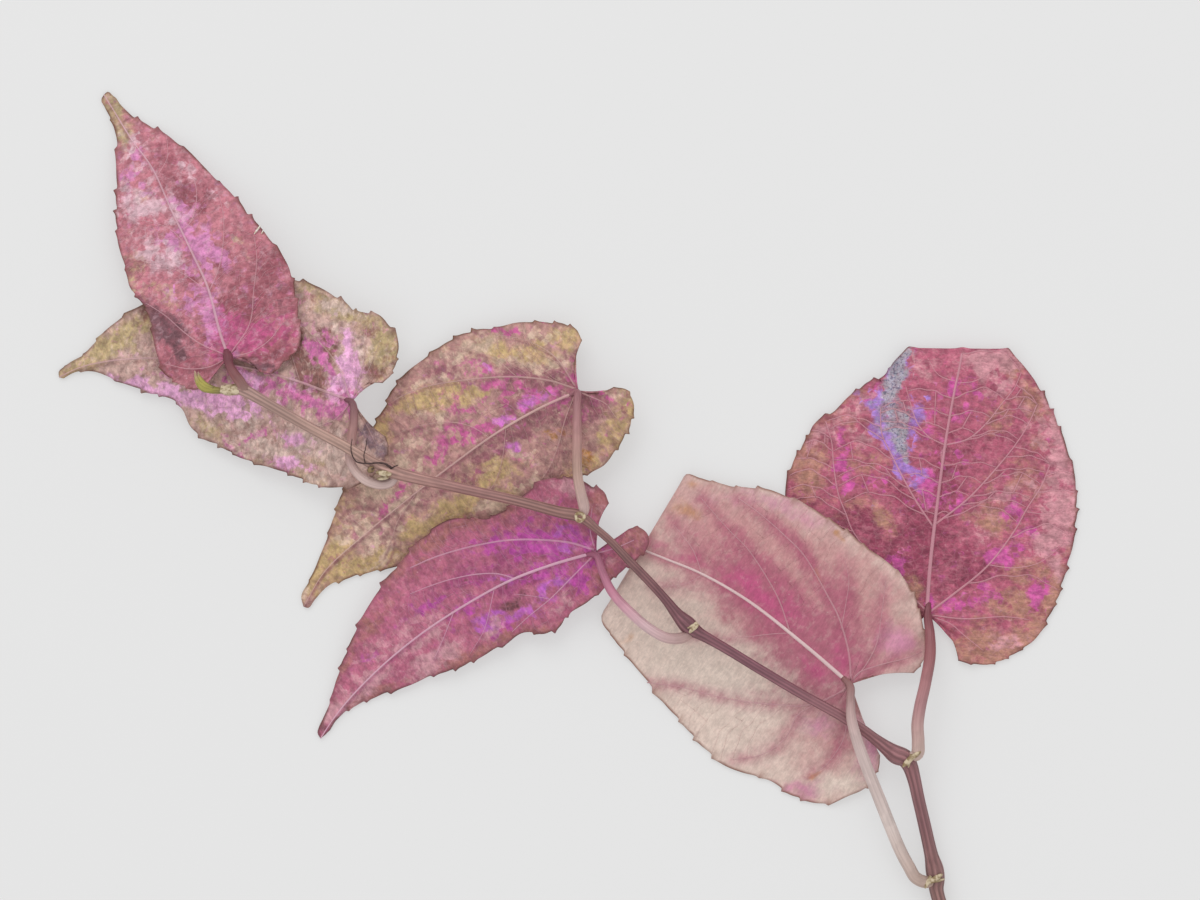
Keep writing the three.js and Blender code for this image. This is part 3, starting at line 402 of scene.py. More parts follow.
MARKINGS["leaf_4"] = {
    "warm": [(512, 352, 34, 9, 8, 0.95), (565, 337, 14, 10, 0, 0.85), (423, 402, 30, 9, -12, 1.1),
        (466, 391, 18, 7, 0, 1.15), (379, 427, 12, 18, 0, 0.8), (487, 480, 28, 11, -30, 0.95),
        (456, 512, 26, 10, -25, 1), (420, 530, 28, 10, -30, 0.95), (500, 500, 18, 7, -20, 0.8),
        (614, 436, 20, 11, 110, 0.8), (590, 464, 13, 7, -30, 1.1), (338, 508, 20, 9, 100, 0.6),
        (328, 566, 30, 14, 120, 1.15), (372, 562, 30, 9, -12, 1.1), (312, 588, 14, 8, 110, 0.95),
        (400, 552, 18, 8, -15, 0.7), (626, 408, 9, 16, 0, 0.9), (565, 478, 18, 7, -30, 0.5),
        (345, 505, 12, 12, 0, 0.6)],
    # The deep patch at 508, 434 is painted shade below the midrib, and the one at 542, 383 is painted shade
    # below a side vein.
    "deep": [(530, 420, 32, 11, -31, 1), (510, 404, 14, 6, -15, 0.8), (508, 434, 44, 5, -31, 0.8),
        (542, 383, 34, 8, 3, 1.35), (594, 402, 16, 9, 15, 1), (490, 460, 20, 7, -30, 0.8),
        (465, 482, 22, 6, -30, 0.5), (575, 356, 8, 9, 0, 0.5), (385, 408, 12, 7, 110, 0.5),
        (440, 493, 20, 5, -35, 0.7), (460, 521, 12, 5, -20, 0.35), (432, 547, 14, 5, -30, 0.7),
        (440, 372, 14, 6, -20, 0.7), (568, 420, 14, 12, 0, 0.6), (398, 400, 9, 7, 0, 0.4),
        (558, 450, 14, 8, 0, 0.5), (555, 362, 12, 5, 0, 0.4)],
    "bright": [(480, 431, 16, 6, -25, 1.1), (440, 450, 13, 6, -40, 0.75), (562, 392, 18, 6, -10, 0.6),
        (530, 398, 20, 6, -15, 0.75), (468, 366, 30, 5, 5, 0.35), (503, 330, 20, 3, -6, 1),
        (570, 376, 7, 9, 0, 0.5), (603, 396, 14, 4, 20, 0.6), (388, 503, 34, 4, -45, 0.55),
        (500, 385, 22, 5, 5, 0.75), (455, 432, 26, 8, -20, 0.6), (465, 407, 14, 6, 0, 0.5),
        (522, 450, 14, 6, 0, 0.5), (575, 400, 8, 16, 0, 0.5)],
    "pale": [(476, 349, 26, 7, -12, 0.85), (526, 362, 26, 6, 5, 0.8), (412, 442, 16, 8, 0, 0.45),
        (400, 462, 16, 10, 0, 0.7), (425, 385, 20, 4, -20, 0.5), (350, 532, 15, 10, -50, 0.6),
        # The pale patch at 500, 506 is painted light where the stem casts its shadow.
        (372, 534, 15, 10, 0, 0.9), (500, 506, 15, 6, -20, 1.1), (530, 481, 16, 6, -25, 0.8),
        (390, 561, 14, 5, -15, 0.6), (430, 416, 16, 7, 0, 0.6), (370, 484, 16, 16, 0, 1),
        (540, 337, 16, 8, 0, 0.45), (402, 503, 16, 8, -40, 0.8), (612, 396, 10, 6, 0, 0.4),
        (520, 452, 16, 5, 0, 0.5), (380, 550, 16, 5, 0, 0.5), (306, 597, 8, 6, 115, 0.9),
        (383, 556, 10, 3, 122, 0.9)],
    "special": [(499, 416, 8, 4, 0, 1.1), (517, 443, 10, 4, 15, 0.8), (535, 399, 12, 4, -20, 0.75),
        (551, 394, 7, 3, -20, 0.4), (492, 368, 6, 3, 0, 0.5)],
    "accent": [(590, 456, 12, 6, -30, 0.65), (553, 436, 12, 4, 0, 0.5)],
}
MARKINGS["leaf_5"] = {
    "warm": [(75, 368, 24, 7, -15, 0.95), (108, 346, 30, 10, -35, 1.05), (138, 324, 28, 12, -35, 0.85),
        (345, 312, 26, 9, 15, 0.85), (384, 343, 12, 28, 0, 0.9), (318, 296, 24, 7, 20, 0.7),
        (309, 479, 22, 6, 15, 0.6), (318, 461, 18, 6, 10, 0.6), (230, 452, 18, 5, 20, 0.6),
        (206, 430, 16, 8, 20, 0.65), (262, 456, 16, 6, 10, 0.5), (130, 350, 10, 7, 0, 0.4),
        (362, 328, 16, 8, 0, 0.5)],
    "deep": [(307, 366, 24, 11, 78, 1.3), (299, 342, 9, 9, 0, 0.9), (258, 372, 12, 5, 0, 0.35),
        (376, 374, 12, 9, 0, 0.8), (325, 350, 16, 6, 60, 1.15), (230, 412, 16, 4, 10, 0.35),
        (145, 308, 9, 9, 0, 0.8), (270, 388, 14, 4, 10, 0.5), (392, 362, 5, 18, 0, 0.45),
        (250, 424, 12, 5, 0, 0.4), (272, 438, 10, 5, 0, 0.4), (160, 366, 12, 5, 0, 0.2),
        (370, 329, 10, 7, 0, 0.75), (310, 300, 10, 5, 0, 0.5), (212, 424, 9, 5, 0, 0.4)],
    "bright": [(257, 383, 28, 7, 8, 1), (305, 398, 26, 9, 12, 1), (336, 404, 16, 11, 0, 0.95),
        (332, 372, 30, 5, 64, 1), (314, 347, 14, 6, 55, 0.95), (222, 396, 16, 5, 10, 0.6),
        (160, 371, 12, 5, 0, 0.35), (258, 437, 12, 4, -15, 0.95), (285, 467, 14, 5, 10, 0.7),
        (236, 448, 12, 4, 20, 0.6), (295, 440, 14, 7, 0, 0.45), (318, 414, 14, 5, 0, 0.5),
        (270, 410, 12, 4, 10, 0.4)],
    "pale": [(135, 364, 20, 5, -5, 0.3), (306, 436, 20, 10, 10, 0.9), (333, 453, 27, 12, 15, 1.25),
        (242, 425, 18, 8, 10, 0.7), (322, 476, 20, 7, 0, 0.6), (335, 330, 14, 9, 0, 0.5),
        (358, 352, 12, 12, 75, 0.8), (270, 452, 28, 7, 12, 0.9), (215, 428, 14, 6, 20, 0.5),
        (330, 322, 10, 6, 0, 0.4), (340, 308, 14, 6, 15, 0.7)],
    "special": [(196, 400, 46, 9, 10, 1.25), (148, 387, 32, 5, 8, 1.1), (240, 412, 24, 5, 10, 0.55),
        (352, 362, 22, 7, 78, 1), (344, 384, 12, 9, 0, 1.3), (252, 380, 14, 5, 8, 0.75),
        (290, 464, 14, 5, 10, 0.7), (300, 384, 9, 5, 0, 0.5), (300, 440, 13, 6, 0, 0.85)],
    "accent": [(372, 436, 13, 7, 70, 0.85), (380, 449, 14, 7, 80, 0.95)],
}
MARKINGS["leaf_6"] = {
    "warm": [(111, 108, 20, 9, 60, 1.15), (123, 129, 12, 10, 0, 1), (137, 264, 12, 8, 0, 0.6),
        (166, 292, 14, 6, 30, 0.4), (130, 285, 10, 9, 40, 0.7), (146, 196, 9, 5, 20, 0.7),
        (240, 236, 14, 9, 50, 0.3)],
    # The deep patch at 203, 204 is painted shade beside a side vein.
    "deep": [(162, 158, 16, 9, 50, 0.7), (180, 190, 18, 12, 60, 0.95), (203, 204, 14, 6, 110, 0.95),
        (222, 258, 12, 14, 60, 0.55), (252, 296, 26, 30, 0, 0.75), (272, 266, 16, 16, 0, 0.85),
        (238, 312, 16, 14, 0, 1.1), (272, 350, 20, 12, 0, 1), (285, 290, 8, 22, 0, 0.7),
        (178, 364, 26, 12, 10, 0.8), (230, 285, 9, 16, 0, 0.5), (206, 338, 14, 8, 40, 0.7),
        (188, 276, 12, 7, 40, 0.5), (250, 250, 18, 7, 45, 0.4), (140, 229, 9, 4, 40, 0.25)],
    "bright": [(184, 219, 16, 9, 65, 0.9), (196, 244, 18, 12, 60, 1.05), (180, 250, 12, 8, 60, 0.8),
        (213, 252, 14, 9, 40, 0.8), (134, 172, 14, 8, 100, 0.6), (210, 318, 32, 9, 70, 1.05),
        (146, 188, 12, 7, 40, 0.5), (205, 275, 18, 10, 60, 0.7), (168, 240, 14, 8, 40, 0.6),
        (182, 300, 12, 7, 40, 0.5)],
    "pale": [(148, 203, 17, 10, 25, 1.05), (162, 258, 18, 9, 30, 0.85), (130, 146, 10, 10, 0, 0.7),
        (131, 211, 10, 8, 0, 0.8), (186, 166, 12, 8, 30, 0.5), (128, 200, 12, 10, 90, 0.7),
        (146, 176, 11, 12, 0, 0.4), (172, 218, 12, 9, 0, 0.7), (214, 198, 12, 6, 45, 0.5),
        (150, 240, 12, 7, 20, 0.6)],
    "special": [(246, 334, 26, 15, -10, 1), (219, 346, 9, 14, 0, 0.7), (285, 337, 9, 10, 0, 0.5),
        (262, 322, 10, 7, 0, 0.4)],
    # The accent patches at 162, 328, 146, 310 and 182, 346 are painted shade in the fold of the left lobe,
    # where it lies over leaf_5.
    "accent": [(162, 328, 24, 11, 42, 1.3), (146, 310, 6, 8, 0, 0.7), (255, 366, 20, 7, 0, 0.85),
        (182, 346, 12, 8, 35, 1), (278, 300, 22, 6, 95, 0.35)],
}

# Leaf colours, in the order of their words. The deep colour is also used for the painted shade beside
# the veins and outside a crease, and the pale colour for a crease's painted light rim.
LEAF_COLOURS = {
    "leaf_1": ("D1BBB0", "B68082", "A2566C", "B64E7A", "D7C6BA", "C886A2", "B8855C", "8A6256", "E0CAC8",
        "B27A86", "7A5040"),
    "leaf_2": ("AC5A70", "AE806C", "843A50", "C6549C", "CA929A", "A27CCC", "A6A4AE", "6E4640", "C48C98",
        "CC949E", "50506E"),
    "leaf_3": ("AA5F76", "9C6660", "92446A", "B2469A", "C4929A", "B25CB4", "76484C", "66403E", "D4AABC",
        "CC98B0", "54343C"),
    "leaf_4": ("AE847E", "BCA270", "86525C", "BE5690", "CAB09C", "C46CBC", "B4803C", "70503E", "CEAAA4",
        "BE9894", "6A4A38"),
    "leaf_5": ("BC9A92", "B29E72", "7C4E4A", "C86CA4", "D2B8AE", "E2A6D0", "7C6670", "6E4E42", "C69EA2",
        "C0A298", "5A4650"),
    "leaf_6": ("B87480", "B4A67C", "8E4C58", "CE84B4", "D4B2BC", "B2507C", "6A4850", "6C443C", "D2AAB6",
        "CC98A0", "543A42"),
}
COLOUR_WORDS = (
    ("ground", "Ground", "Blade between its markings"),
    ("warm", "Warm", "Olive or brown areas"),
    ("deep", "Deep", "Darkest red or brown areas"),
    ("bright", "Bright", "Pink or magenta areas"),
    ("pale", "Pale", "Cream or pale pink areas"),
    ("special", "Violet", "Lilac or violet areas"),
    ("accent", "Accent", "Small spots and dark places"),
    ("margin", "Margin", "Thin line along the teeth"),
    ("rib", "Midrib", "Raised midrib"),
    ("vein", "Veins", "Raised side veins"),
    ("pit", "Pits", "Dark specks inside the accent areas"),
)

# How each pigment is mottled: cells to the metre, spread of its border, softness, most of it, and how far
# it keeps to the cells of the net
MOTTLE = {
    "warm": (260, 1.3, 0.32, 0.9, 0.4), "deep": (420, 1.5, 0.28, 0.9, 0.5),
    "bright": (360, 1.4, 0.22, 0.92, 0.8), "pale": (420, 1.4, 0.28, 0.88, 0.6),
    "special": (420, 1.2, 0.22, 0.92, 0.6), "accent": (520, 1, 0.22, 0.92, 0.4),
}

# Strengths of the finer markings and relief, for leaf_1 to leaf_6 in turn. Change of value at three
# scales: value, grain, cell. Small markings: blotch dark, fleck pale, fibre, net, speck, core for pits.
# Beside the veins: glow and its width in mm, rung_shade for the band at the ladder veins, partly pigment
# and partly painted shade, lee for the painted shade below the midrib and side veins. Veins: vein for
# their skin, side_skin and rung_skin as shares of it, rung_size for a ladder vein's radius in mm.
# Areas: angular for how far they keep to the net, spread of their borders, draw along the blade.
STYLE_ROWS = {
    "value": (0.09, 0.23, 0.22, 0.25, 0.27, 0.23),
    "grain": (0.05, 0.09, 0.08, 0.08, 0.09, 0.08),
    "cell": (0.01, 0.08, 0.06, 0.08, 0.09, 0.08),
    "blotch": (0, 0.22, 0.25, 0.3, 0.32, 0.34),
    "fleck": (0.12, 0.2, 0.2, 0.28, 0.34, 0.24),
    "fibre": (0.07, 0.12, 0.08, 0.04, 0.03, 0.05),
    "net": (0.02, 0.12, 0.08, 0.1, 0.1, 0.08),
    "speck": (0.2, 0.4, 0.6, 0.6, 0.6, 0.4),
    "core": (0, 0.75, 0.6, 0.4, 0.2, 0.2),
    "glow": (0.7, 0.25, 0.2, 0.25, 0.15, 0.2),
    "glow_width": (2.2, 0.9, 1, 1, 1, 1),
    "rung_shade": (0.03, 0.6, 0.25, 0.3, 0.25, 0.25),
    "lee": (0.65, 0.15, 0.5, 0.75, 0.35, 0.35),
    "vein": (0.8, 0.85, 0.8, 0.75, 0.6, 0.7),
    "side_skin": (0.6, 0.85, 0.75, 0.75, 0.75, 0.75),
    "rung_skin": (0.08, 0.68, 0.25, 0.35, 0.3, 0.3),
    "rung_size": (0.2, 0.38, 0.26, 0.3, 0.28, 0.28),
    "angular": (0.2, 0.7, 0.6, 0.9, 0.9, 0.9),
    "spread": (0.5, 1, 0.9, 0.95, 0.95, 0.9),
    "draw": (0.85, 0.8, 0.8, 0.9, 0.9, 0.9),
    "relief": (0.35, 1.4, 0.9, 1.1, 1.1, 1),
}
LEAF_STYLE = {name: {key: row[k] for key, row in STYLE_ROWS.items()} for k, name in enumerate(LEAVES)}

# Paths of the stem and the leaf stalks: x, y, height and radius, from the cut end and from the stem
STEM = [[952, 941, 1.95, 1.8], [943, 912, 2.5, 1.85], [937, 891, 3.2, 1.9], [936.3, 879, 3.6, 2.35],
    [934.8, 869, 3.9, 2.4], [931.5, 855, 4.3, 1.85], [924.7, 825, 5.2, 1.7], [918.8, 800, 6, 1.68],
    [914.3, 780, 6.8, 1.8], [910, 766, 7.3, 2.1], [905, 758.5, 7.6, 2.4], [896, 754.6, 7.9, 2.5],
    [886.7, 748, 8.2, 1.95], [875, 739, 8.7, 1.5], [863.5, 730.3, 9.1, 1.4], [840, 715.4, 9.8, 1.35],
    [800, 693, 10.8, 1.3], [760, 669.3, 11.6, 1.3], [730, 651, 12.1, 1.3], [710, 639.3, 12.4, 1.4],
    [700, 633.8, 12.5, 1.6], [692.5, 629, 12.6, 2.1], [686.7, 624, 12.6, 2.3], [677, 614, 12.9, 1.65],
    [666, 600, 13.1, 1.25], [648, 580, 13.5, 1.2], [629, 560.5, 13.9, 1.15], [609.4, 540, 14.3, 1.05],
    [594, 526.8, 14.7, 1.1], [586, 520, 14.9, 1.4], [578, 515.5, 15, 1.65], [560, 512, 15.2, 1.55],
    [518, 501, 15.6, 1.38], [456, 487, 16.2, 1.42], [404, 475, 16.8, 1.65], [389, 470, 17, 1.9],
    [376, 465, 17.2, 1.7], [350, 449, 17.5, 1.45], [304, 424, 17.8, 1.4], [262, 400, 18, 1.45],
    [246, 391, 18, 1.65], [239, 388.5, 17.9, 1.5]]
PETIOLES = {
    "petiole_1": [[934, 881, 4, 1.5], [926, 882.5, 4.4, 1.75], [915.8, 878, 5.3, 1.75],
        [909, 867, 6.4, 1.75], [900, 850, 7.7, 1.75], [887.5, 820, 9.7, 1.75], [879.6, 800, 10.8, 1.75],
        [871.5, 780, 11.8, 1.7], [862.5, 757, 12.9, 1.65], [854.5, 733, 13.2, 1.55], [850.6, 716, 12.7, 1.4],
        [850.3, 699, 10.1, 1.2], [850, 686, 7.6, 1.1], [843, 678, 6.3, 0.75]],
    "petiole_2": [[911, 757, 8, 1.4], [917, 754, 8.4, 1.8], [918, 741, 8.9, 1.8], [917.3, 725, 9, 1.75],
        [920, 706, 9, 1.7], [925, 684, 8.8, 1.65], [930, 655, 7.9, 1.6], [930, 634, 6, 1.4],
        [928, 615, 3.2, 1.1], [929, 603, 2.4, 0.7]],
    "petiole_3": [[691, 632, 12, 1.3], [683, 637.5, 12.2, 1.55], [668, 638, 12.2, 1.5],
        [650, 629, 12.2, 1.45], [630, 612, 12.1, 1.4], [612, 592, 11.9, 1.3], [602, 571, 11.4, 1.1],
        [596, 555, 10.2, 0.95], [586, 554.5, 9.1, 0.55]],
    "petiole_4": [[583, 515, 14.6, 1.2], [584, 508, 15, 1.55], [581, 494, 15.2, 1.5],
        [577.5, 475, 14.9, 1.4], [577, 430, 13.4, 1.35], [577, 404, 11.8, 1.2], [577, 392, 10.2, 1],
        [569, 395, 9.3, 0.55]],
    "petiole_5": [[397, 477, 16.2, 1], [390, 483, 15.5, 1.3], [380, 484.5, 15, 1.35], [366, 480, 14.3, 1.35],
        [355, 470, 13.6, 1.3], [350, 458, 13.2, 1.3], [351.5, 440, 13, 1.3], [354, 420, 12.7, 1.2],
        [352.5, 403, 11.8, 0.95], [345, 399, 10.9, 0.55]],
    "petiole_6": [[246, 390, 18.4, 1.3], [241, 382, 19.2, 1.5], [235, 374, 18.9, 1.4],
        [230, 365, 17.2, 1.25], [228.5, 357, 15.2, 1.45], [226.5, 350, 14.2, 0.7]],
}

# Stalk colours, in the order of their words. The whitish bend of petiole_3 and of petiole_5 is a
# painted highlight over the stalk's own colour.
STALK_COLOURS = {
    "petiole_1": ("B0968A", "CFBFB9", "D0BAB6", "906060"),
    "petiole_2": ("C8B0A6", "A87C7E", "9C6266", "7C444E"),
    "petiole_3": ("B0908A", "CEAEB2", "C28096", "905068"),
    "petiole_4": ("C8ACA8", "AE8E82", "AA7C7C", "94606A"),
    "petiole_5": ("B8A09C", "CCB2AC", "AE8480", "704450"),
    "petiole_6": ("9C7C74", "865456", "6E3E46", "78444E"),
}
STALK_WORDS = (
    ("foot", "Foot", "Where a stalk leaves the stem"),
    ("bend", "Bend", "Lower bend of a stalk"),
    ("middle", "Middle", "Middle of a stalk"),
    ("head", "Head", "Where a stalk enters the blade"),
)
STEM_COLOURS = ("8A6A62", "906669", "986A6E", "8A5C67", "7F565C", "96706A", "A87C78", "B8968A", "B4928A")
STEM_WORDS = [("stretch_%d" % k, "Stretch %d" % k, "Stem colour, counted from the cut end")
              for k in range(1, len(STEM_COLOURS) + 1)]

# Small parts: scales as foot, tip and width, and rods as paths
SCALES = {
    "stub_1": [([929, 883, 5.9], [943, 874, 6.57], 1.6), ([931, 876, 6], [925, 889, 5.78], 1.2),
               ([934, 882, 5.65], [945, 879, 5.95], 0.9)],
    "stub_2": [([914, 755, 9.9], [902, 767, 10.58], 1.6), ([908, 760, 9.8], [921, 751, 10.32], 1.4),
               ([911, 754, 9.4], [908, 768, 9.85], 0.9)],
    "stub_3": [([697, 622, 14.15], [689, 633, 14.75], 1.4), ([691, 631, 14.5], [699, 624, 14.95], 0.9),
               ([695, 624, 14.25], [687, 628, 14.7], 0.8)],
    "stub_5": [([392, 474.5, 18.6], [376, 472, 19.1], 1.6), ([389, 477, 17.65], [377, 479, 17.35], 1.2)],
}
SHREDS = [([260.5, 225.5, 7.65], [253.8, 234.5, 8.6], 0.55), ([261.5, 234, 7.9], [263.5, 229.5, 8.1], 0.4)]
CUT_PLACE = [580, 517, 16]
CUT_PROFILE = [[0, 0], [1.25, 0], [1.5, 0.3], [1.6, 0.7], [1.5, 1.1], [1.25, 1.3], [0.95, 1.25], [0.75, 1],
               [0.68, 0.6], [0.4, 0.45], [0, 0.42]]
END_STUB = [[240, 389.5, 17.8, 1.5], [233, 390.5, 17.7, 1.6], [226, 390.5, 17.7, 1.45],
            [221, 389.5, 17.8, 1]]
KNOB = [[368.2, 471.2, 19, 0.3], [369.8, 470.5, 19.2, 0.85], [371.5, 469.5, 19.3, 1],
        [373.2, 468.5, 19.2, 0.75], [374.6, 467.8, 19, 0.25]]
LEAF_BUD = (
    [[222, 391, 17.8, 0.8], [212, 389.5, 18.1, 1.1], [204, 386.5, 18.3, 1.25], [198.5, 380, 18.2, 0.8],
     [195.6, 371, 17.8, 0.15]],
    [[214, 388, 18.7, 0.5], [206, 384, 18.9, 0.6], [201, 378, 18.8, 0.5], [199, 372, 18.3, 0.12]],
)
TENDRIL = (
    [[391.5, 467.5, 18.6, 0.4], [386, 464, 19.4, 0.3], [380, 462.8, 19.6, 0.25], [368, 463.5, 19.7, 0.22],
     [357, 461.5, 19.8, 0.19], [352.3, 453, 19.8, 0.17], [351.8, 446, 19.5, 0.15], [352.8, 439, 18.9, 0.1]],
    [[366, 463.8, 19.7, 0.18], [364.6, 456, 19.8, 0.15], [366.3, 448, 19.3, 0.13], [367.8, 438, 18.2, 0.1]],
    [[391, 469, 18.5, 0.3], [395, 466.5, 19.3, 0.2], [399, 465, 19.5, 0.12]],
)

# Lights as name, place in metres, width and power
LIGHTS = (("key", (-0.7, 1.7, 1.9), 1.8, 20.5), ("fill", (0.9, -0.4, 2.4), 1.8, 3.2))


def linear(code):
    """Hex digits as linear light: each share c becomes ((c + 0.055) / 1.055) to the power 2.4."""
    shares = np.array([int(code[k:k + 2], 16) for k in (0, 2, 4)]) / 255
    return tuple(np.where(shares > 0.04045, ((shares + 0.055) / 1.055) ** 2.4, shares / 12.92))


def place(points):
    """Plan points with heights to metres: x grows with its step, y falls with it."""
    points = np.asarray(points, float)
    flat = [(points[:, 0] - CENTRE_X) * STEP, (CENTRE_Y - points[:, 1]) * STEP]
    return np.column_stack(flat + [points[:, k] * MM for k in range(2, points.shape[1])])


def smooth_line(points, parts=40):
    """Smooth line through points: each span is a cubic whose end slopes follow the neighbouring
    points, spaced by the square root of their distance. Gives the line and its share of the length."""
    ends = np.vstack([2 * points[0] - points[1], points, 2 * points[-1] - points[-2]])
    gap = np.sqrt(np.linalg.norm(np.diff(ends[:, :3], axis=0), axis=1))[:, None]
    before, here, after = gap[:-2], gap[1:-1], gap[2:]
    p0, p1, p2, p3 = ends[:-3], ends[1:-2], ends[2:-1], ends[3:]
    m1 = here * ((p1 - p0) / before - (p2 - p0) / (before + here) + (p2 - p1) / here)
    m2 = here * ((p2 - p1) / here - (p3 - p1) / (here + after) + (p3 - p2) / after)
    t = (np.arange(parts) / parts)[None, :, None]
    p1, p2, m1, m2 = (a[:, None] for a in (p1, p2, m1, m2))
    spans = (p1 * (2 * t**3 - 3 * t**2 + 1) + m1 * (t**3 - 2 * t**2 + t)
             + p2 * (3 * t**2 - 2 * t**3) + m2 * (t**3 - t**2))
    line = np.vstack([spans.reshape(-1, points.shape[1]), points[-1]])
    length = path_length(line[:, :3])
    return line, length / length[-1]


def path_length(line):
    """Length of a line up to each of its points."""
    return np.concatenate([[0], np.cumsum(np.linalg.norm(np.diff(line, axis=0), axis=1))])


def sample(curve, shares):
    """Points of a smooth line at the given shares of its length."""
    line, length = curve
    return np.column_stack([np.interp(shares, length, column) for column in line.T])


def unit(vectors):
    """Vectors divided by their own length."""
    return vectors / np.maximum(np.linalg.norm(vectors, axis=-1, keepdims=True), 1e-12)


def bell(distance, width):
    """Bell curve: e to the minus square of the distance in widths."""
    return np.exp(-((distance / width) ** 2))


def seed_of(words):
    """Seed of the random draws for a name: the sum of its letters' codes."""
    return sum(ord(letter) for letter in words)


def grid_faces(rows, columns):
    """Two triangles for each square of a grid whose points run row by row."""
    a = (np.arange(rows - 1)[:, None] * columns + np.arange(columns - 1)).ravel()
    b, c, d = a + 1, a + columns + 1, a + columns
    return np.concatenate([np.column_stack([a, c, b]), np.column_stack([a, d, c])])


def closed_shell(faces, count):
    """Triangles of a shell whose lower points follow its count upper ones: the upper sheet, the same
    sheet turned over, and two triangles below each edge that only one triangle of the sheet has."""
    edges = faces[:, [0, 1, 1, 2, 2, 0]].reshape(-1, 2)
    code = edges.min(1).astype(np.int64) * count + edges.max(1)
    _, back, times = np.unique(code, return_inverse=True, return_counts=True)
    a, b = edges[times[back.ravel()] == 1].T
    return np.vstack([faces, faces[:, ::-1] + count, np.column_stack([b, a, a + count]),
                      np.column_stack([b, a + count, b + count])])


def rod_faces(rows, sides):
    """Triangles of a closed rod: two for each square between rings, and a fan at each end round the
    two points that follow the rings."""
    here = np.arange(sides)
    across = np.roll(here, -1)
    start = np.arange(rows - 1)[:, None] * sides
    a, b = (start + here).ravel(), (start + across).ravel()
    first, end = np.full(sides, rows * sides), (rows - 1) * sides
    return np.vstack([np.column_stack([a, a + sides, b]), np.column_stack([b, a + sides, b + sides]),
                      np.column_stack([first, here, across]),
                      np.column_stack([first + 1, end + across, end + here])])


def ring_angles(sides):
    """Angles of the points of a ring."""
    return 2 * np.pi * np.arange(sides) / sides


def rod(centre, radius, side, up, length):
    """Closed rod: round each centre a ring of points, each at its radius times the cosine of its angle
    along side and times the sine along up. Gives points, triangles, and each point's length along the
    rod with its two offsets from the middle, all in metres."""
    angle = ring_angles(radius.shape[1])
    out, rise = radius * np.cos(angle), radius * np.sin(angle)
    ring = out[..., None] * side[:, None] + rise[..., None] * up[:, None]
    points = np.vstack([(centre[:, None] + ring).reshape(-1, 3), centre[0], centre[-1]])
    grain = np.stack([np.broadcast_to(length[:, None], radius.shape), out, rise], axis=-1)
    grain = np.vstack([grain.reshape(-1, 3), [0, 0, 0], [length[-1], 0, 0]])
    return points, rod_faces(*radius.shape), grain


def tube(path, sides, spacing, grooves=0, depth=0.0):
    """Round rod along a path: each ring stands square to it, and its radius is changed by depth times
    the cosine of grooves times the angle. Gives points, triangles, grain, and share of the length."""
    curve = smooth_line(place(path))
    total = path_length(curve[0][:, :3])[-1]
    stops = np.linspace(0, 1, max(4, int(total / spacing)) + 1)
    row = sample(curve, stops)
    way = unit(np.gradient(row[:, :3], axis=0))
    side = unit(np.column_stack([way[:, 1], -way[:, 0], np.zeros(len(row))]))
    radius = row[:, 3:4] * (1 + depth * np.cos(grooves * ring_angles(sides)))
    solid = rod(row[:, :3], radius, side, np.cross(side, way), stops * total)
    return (*solid, np.concatenate([np.repeat(stops, sides), [0, 1]]))


def joined(parts):
    """Several point and triangle sets as one: each set's triangles count on from the last."""
    counts = np.cumsum([0] + [len(part[0]) for part in parts])
    faces = np.vstack([part[1] + start for part, start in zip(parts, counts)])
    rest = [np.concatenate([part[k] for part in parts]) for k in range(2, len(parts[0]))]
    return [np.vstack([part[0] for part in parts]), faces] + rest


def point_normals(points, faces):
    """Normal at each point: the sum of its triangles' cross products, made one long."""
    corner = points[faces]
    cross = np.cross(corner[:, 1] - corner[:, 0], corner[:, 2] - corner[:, 0])
    normals = np.zeros_like(points)
    for k in range(3):
        np.add.at(normals, faces[:, k], cross)
    return unit(normals)


def chunks(count, size):
    """Numbers up to count, split into chunks of about one size."""
    return np.array_split(np.arange(count), max(1, count // size))


def near_lines(points, lines):
    """Distance in plan from each point to the nearest of the lines: the foot of the perpendicular
    on each straight piece is kept between the piece's ends."""
    start = np.vstack([line[:-1, :2] for line in lines])
    along = np.vstack([np.diff(line[:, :2], axis=0) for line in lines])
    size = np.maximum((along**2).sum(1), 1e-14)
    nearest = np.empty(len(points))
    for chunk in chunks(len(points), 2000):
        away = points[chunk, None, :2] - start
        foot = np.clip((away * along).sum(2) / size, 0, 1)
        nearest[chunk] = np.sqrt(((away - foot[..., None] * along) ** 2).sum(2)).min(1)
    return nearest


def value_noise(points, size, seed):
    """Smooth noise from 0 to 1: a seeded random value at each corner of a square lattice in plan,
    blended between corners with the curve 3 t squared minus 2 t cubed."""
    table = np.random.default_rng(seed).random((LATTICE, LATTICE))
    spot = points[:, :2] / size + NOISE_SHIFT
    cell = np.floor(spot).astype(int)
    t = spot - cell
    t = t * t * (3 - 2 * t)
    x0, y0 = (cell % LATTICE).T
    x1, y1 = (x0 + 1) % LATTICE, (y0 + 1) % LATTICE
    low = table[x0, y0] * (1 - t[:, 0]) + table[x1, y0] * t[:, 0]
    high = table[x0, y1] * (1 - t[:, 0]) + table[x1, y1] * t[:, 0]
    return low * (1 - t[:, 1]) + high * t[:, 1]


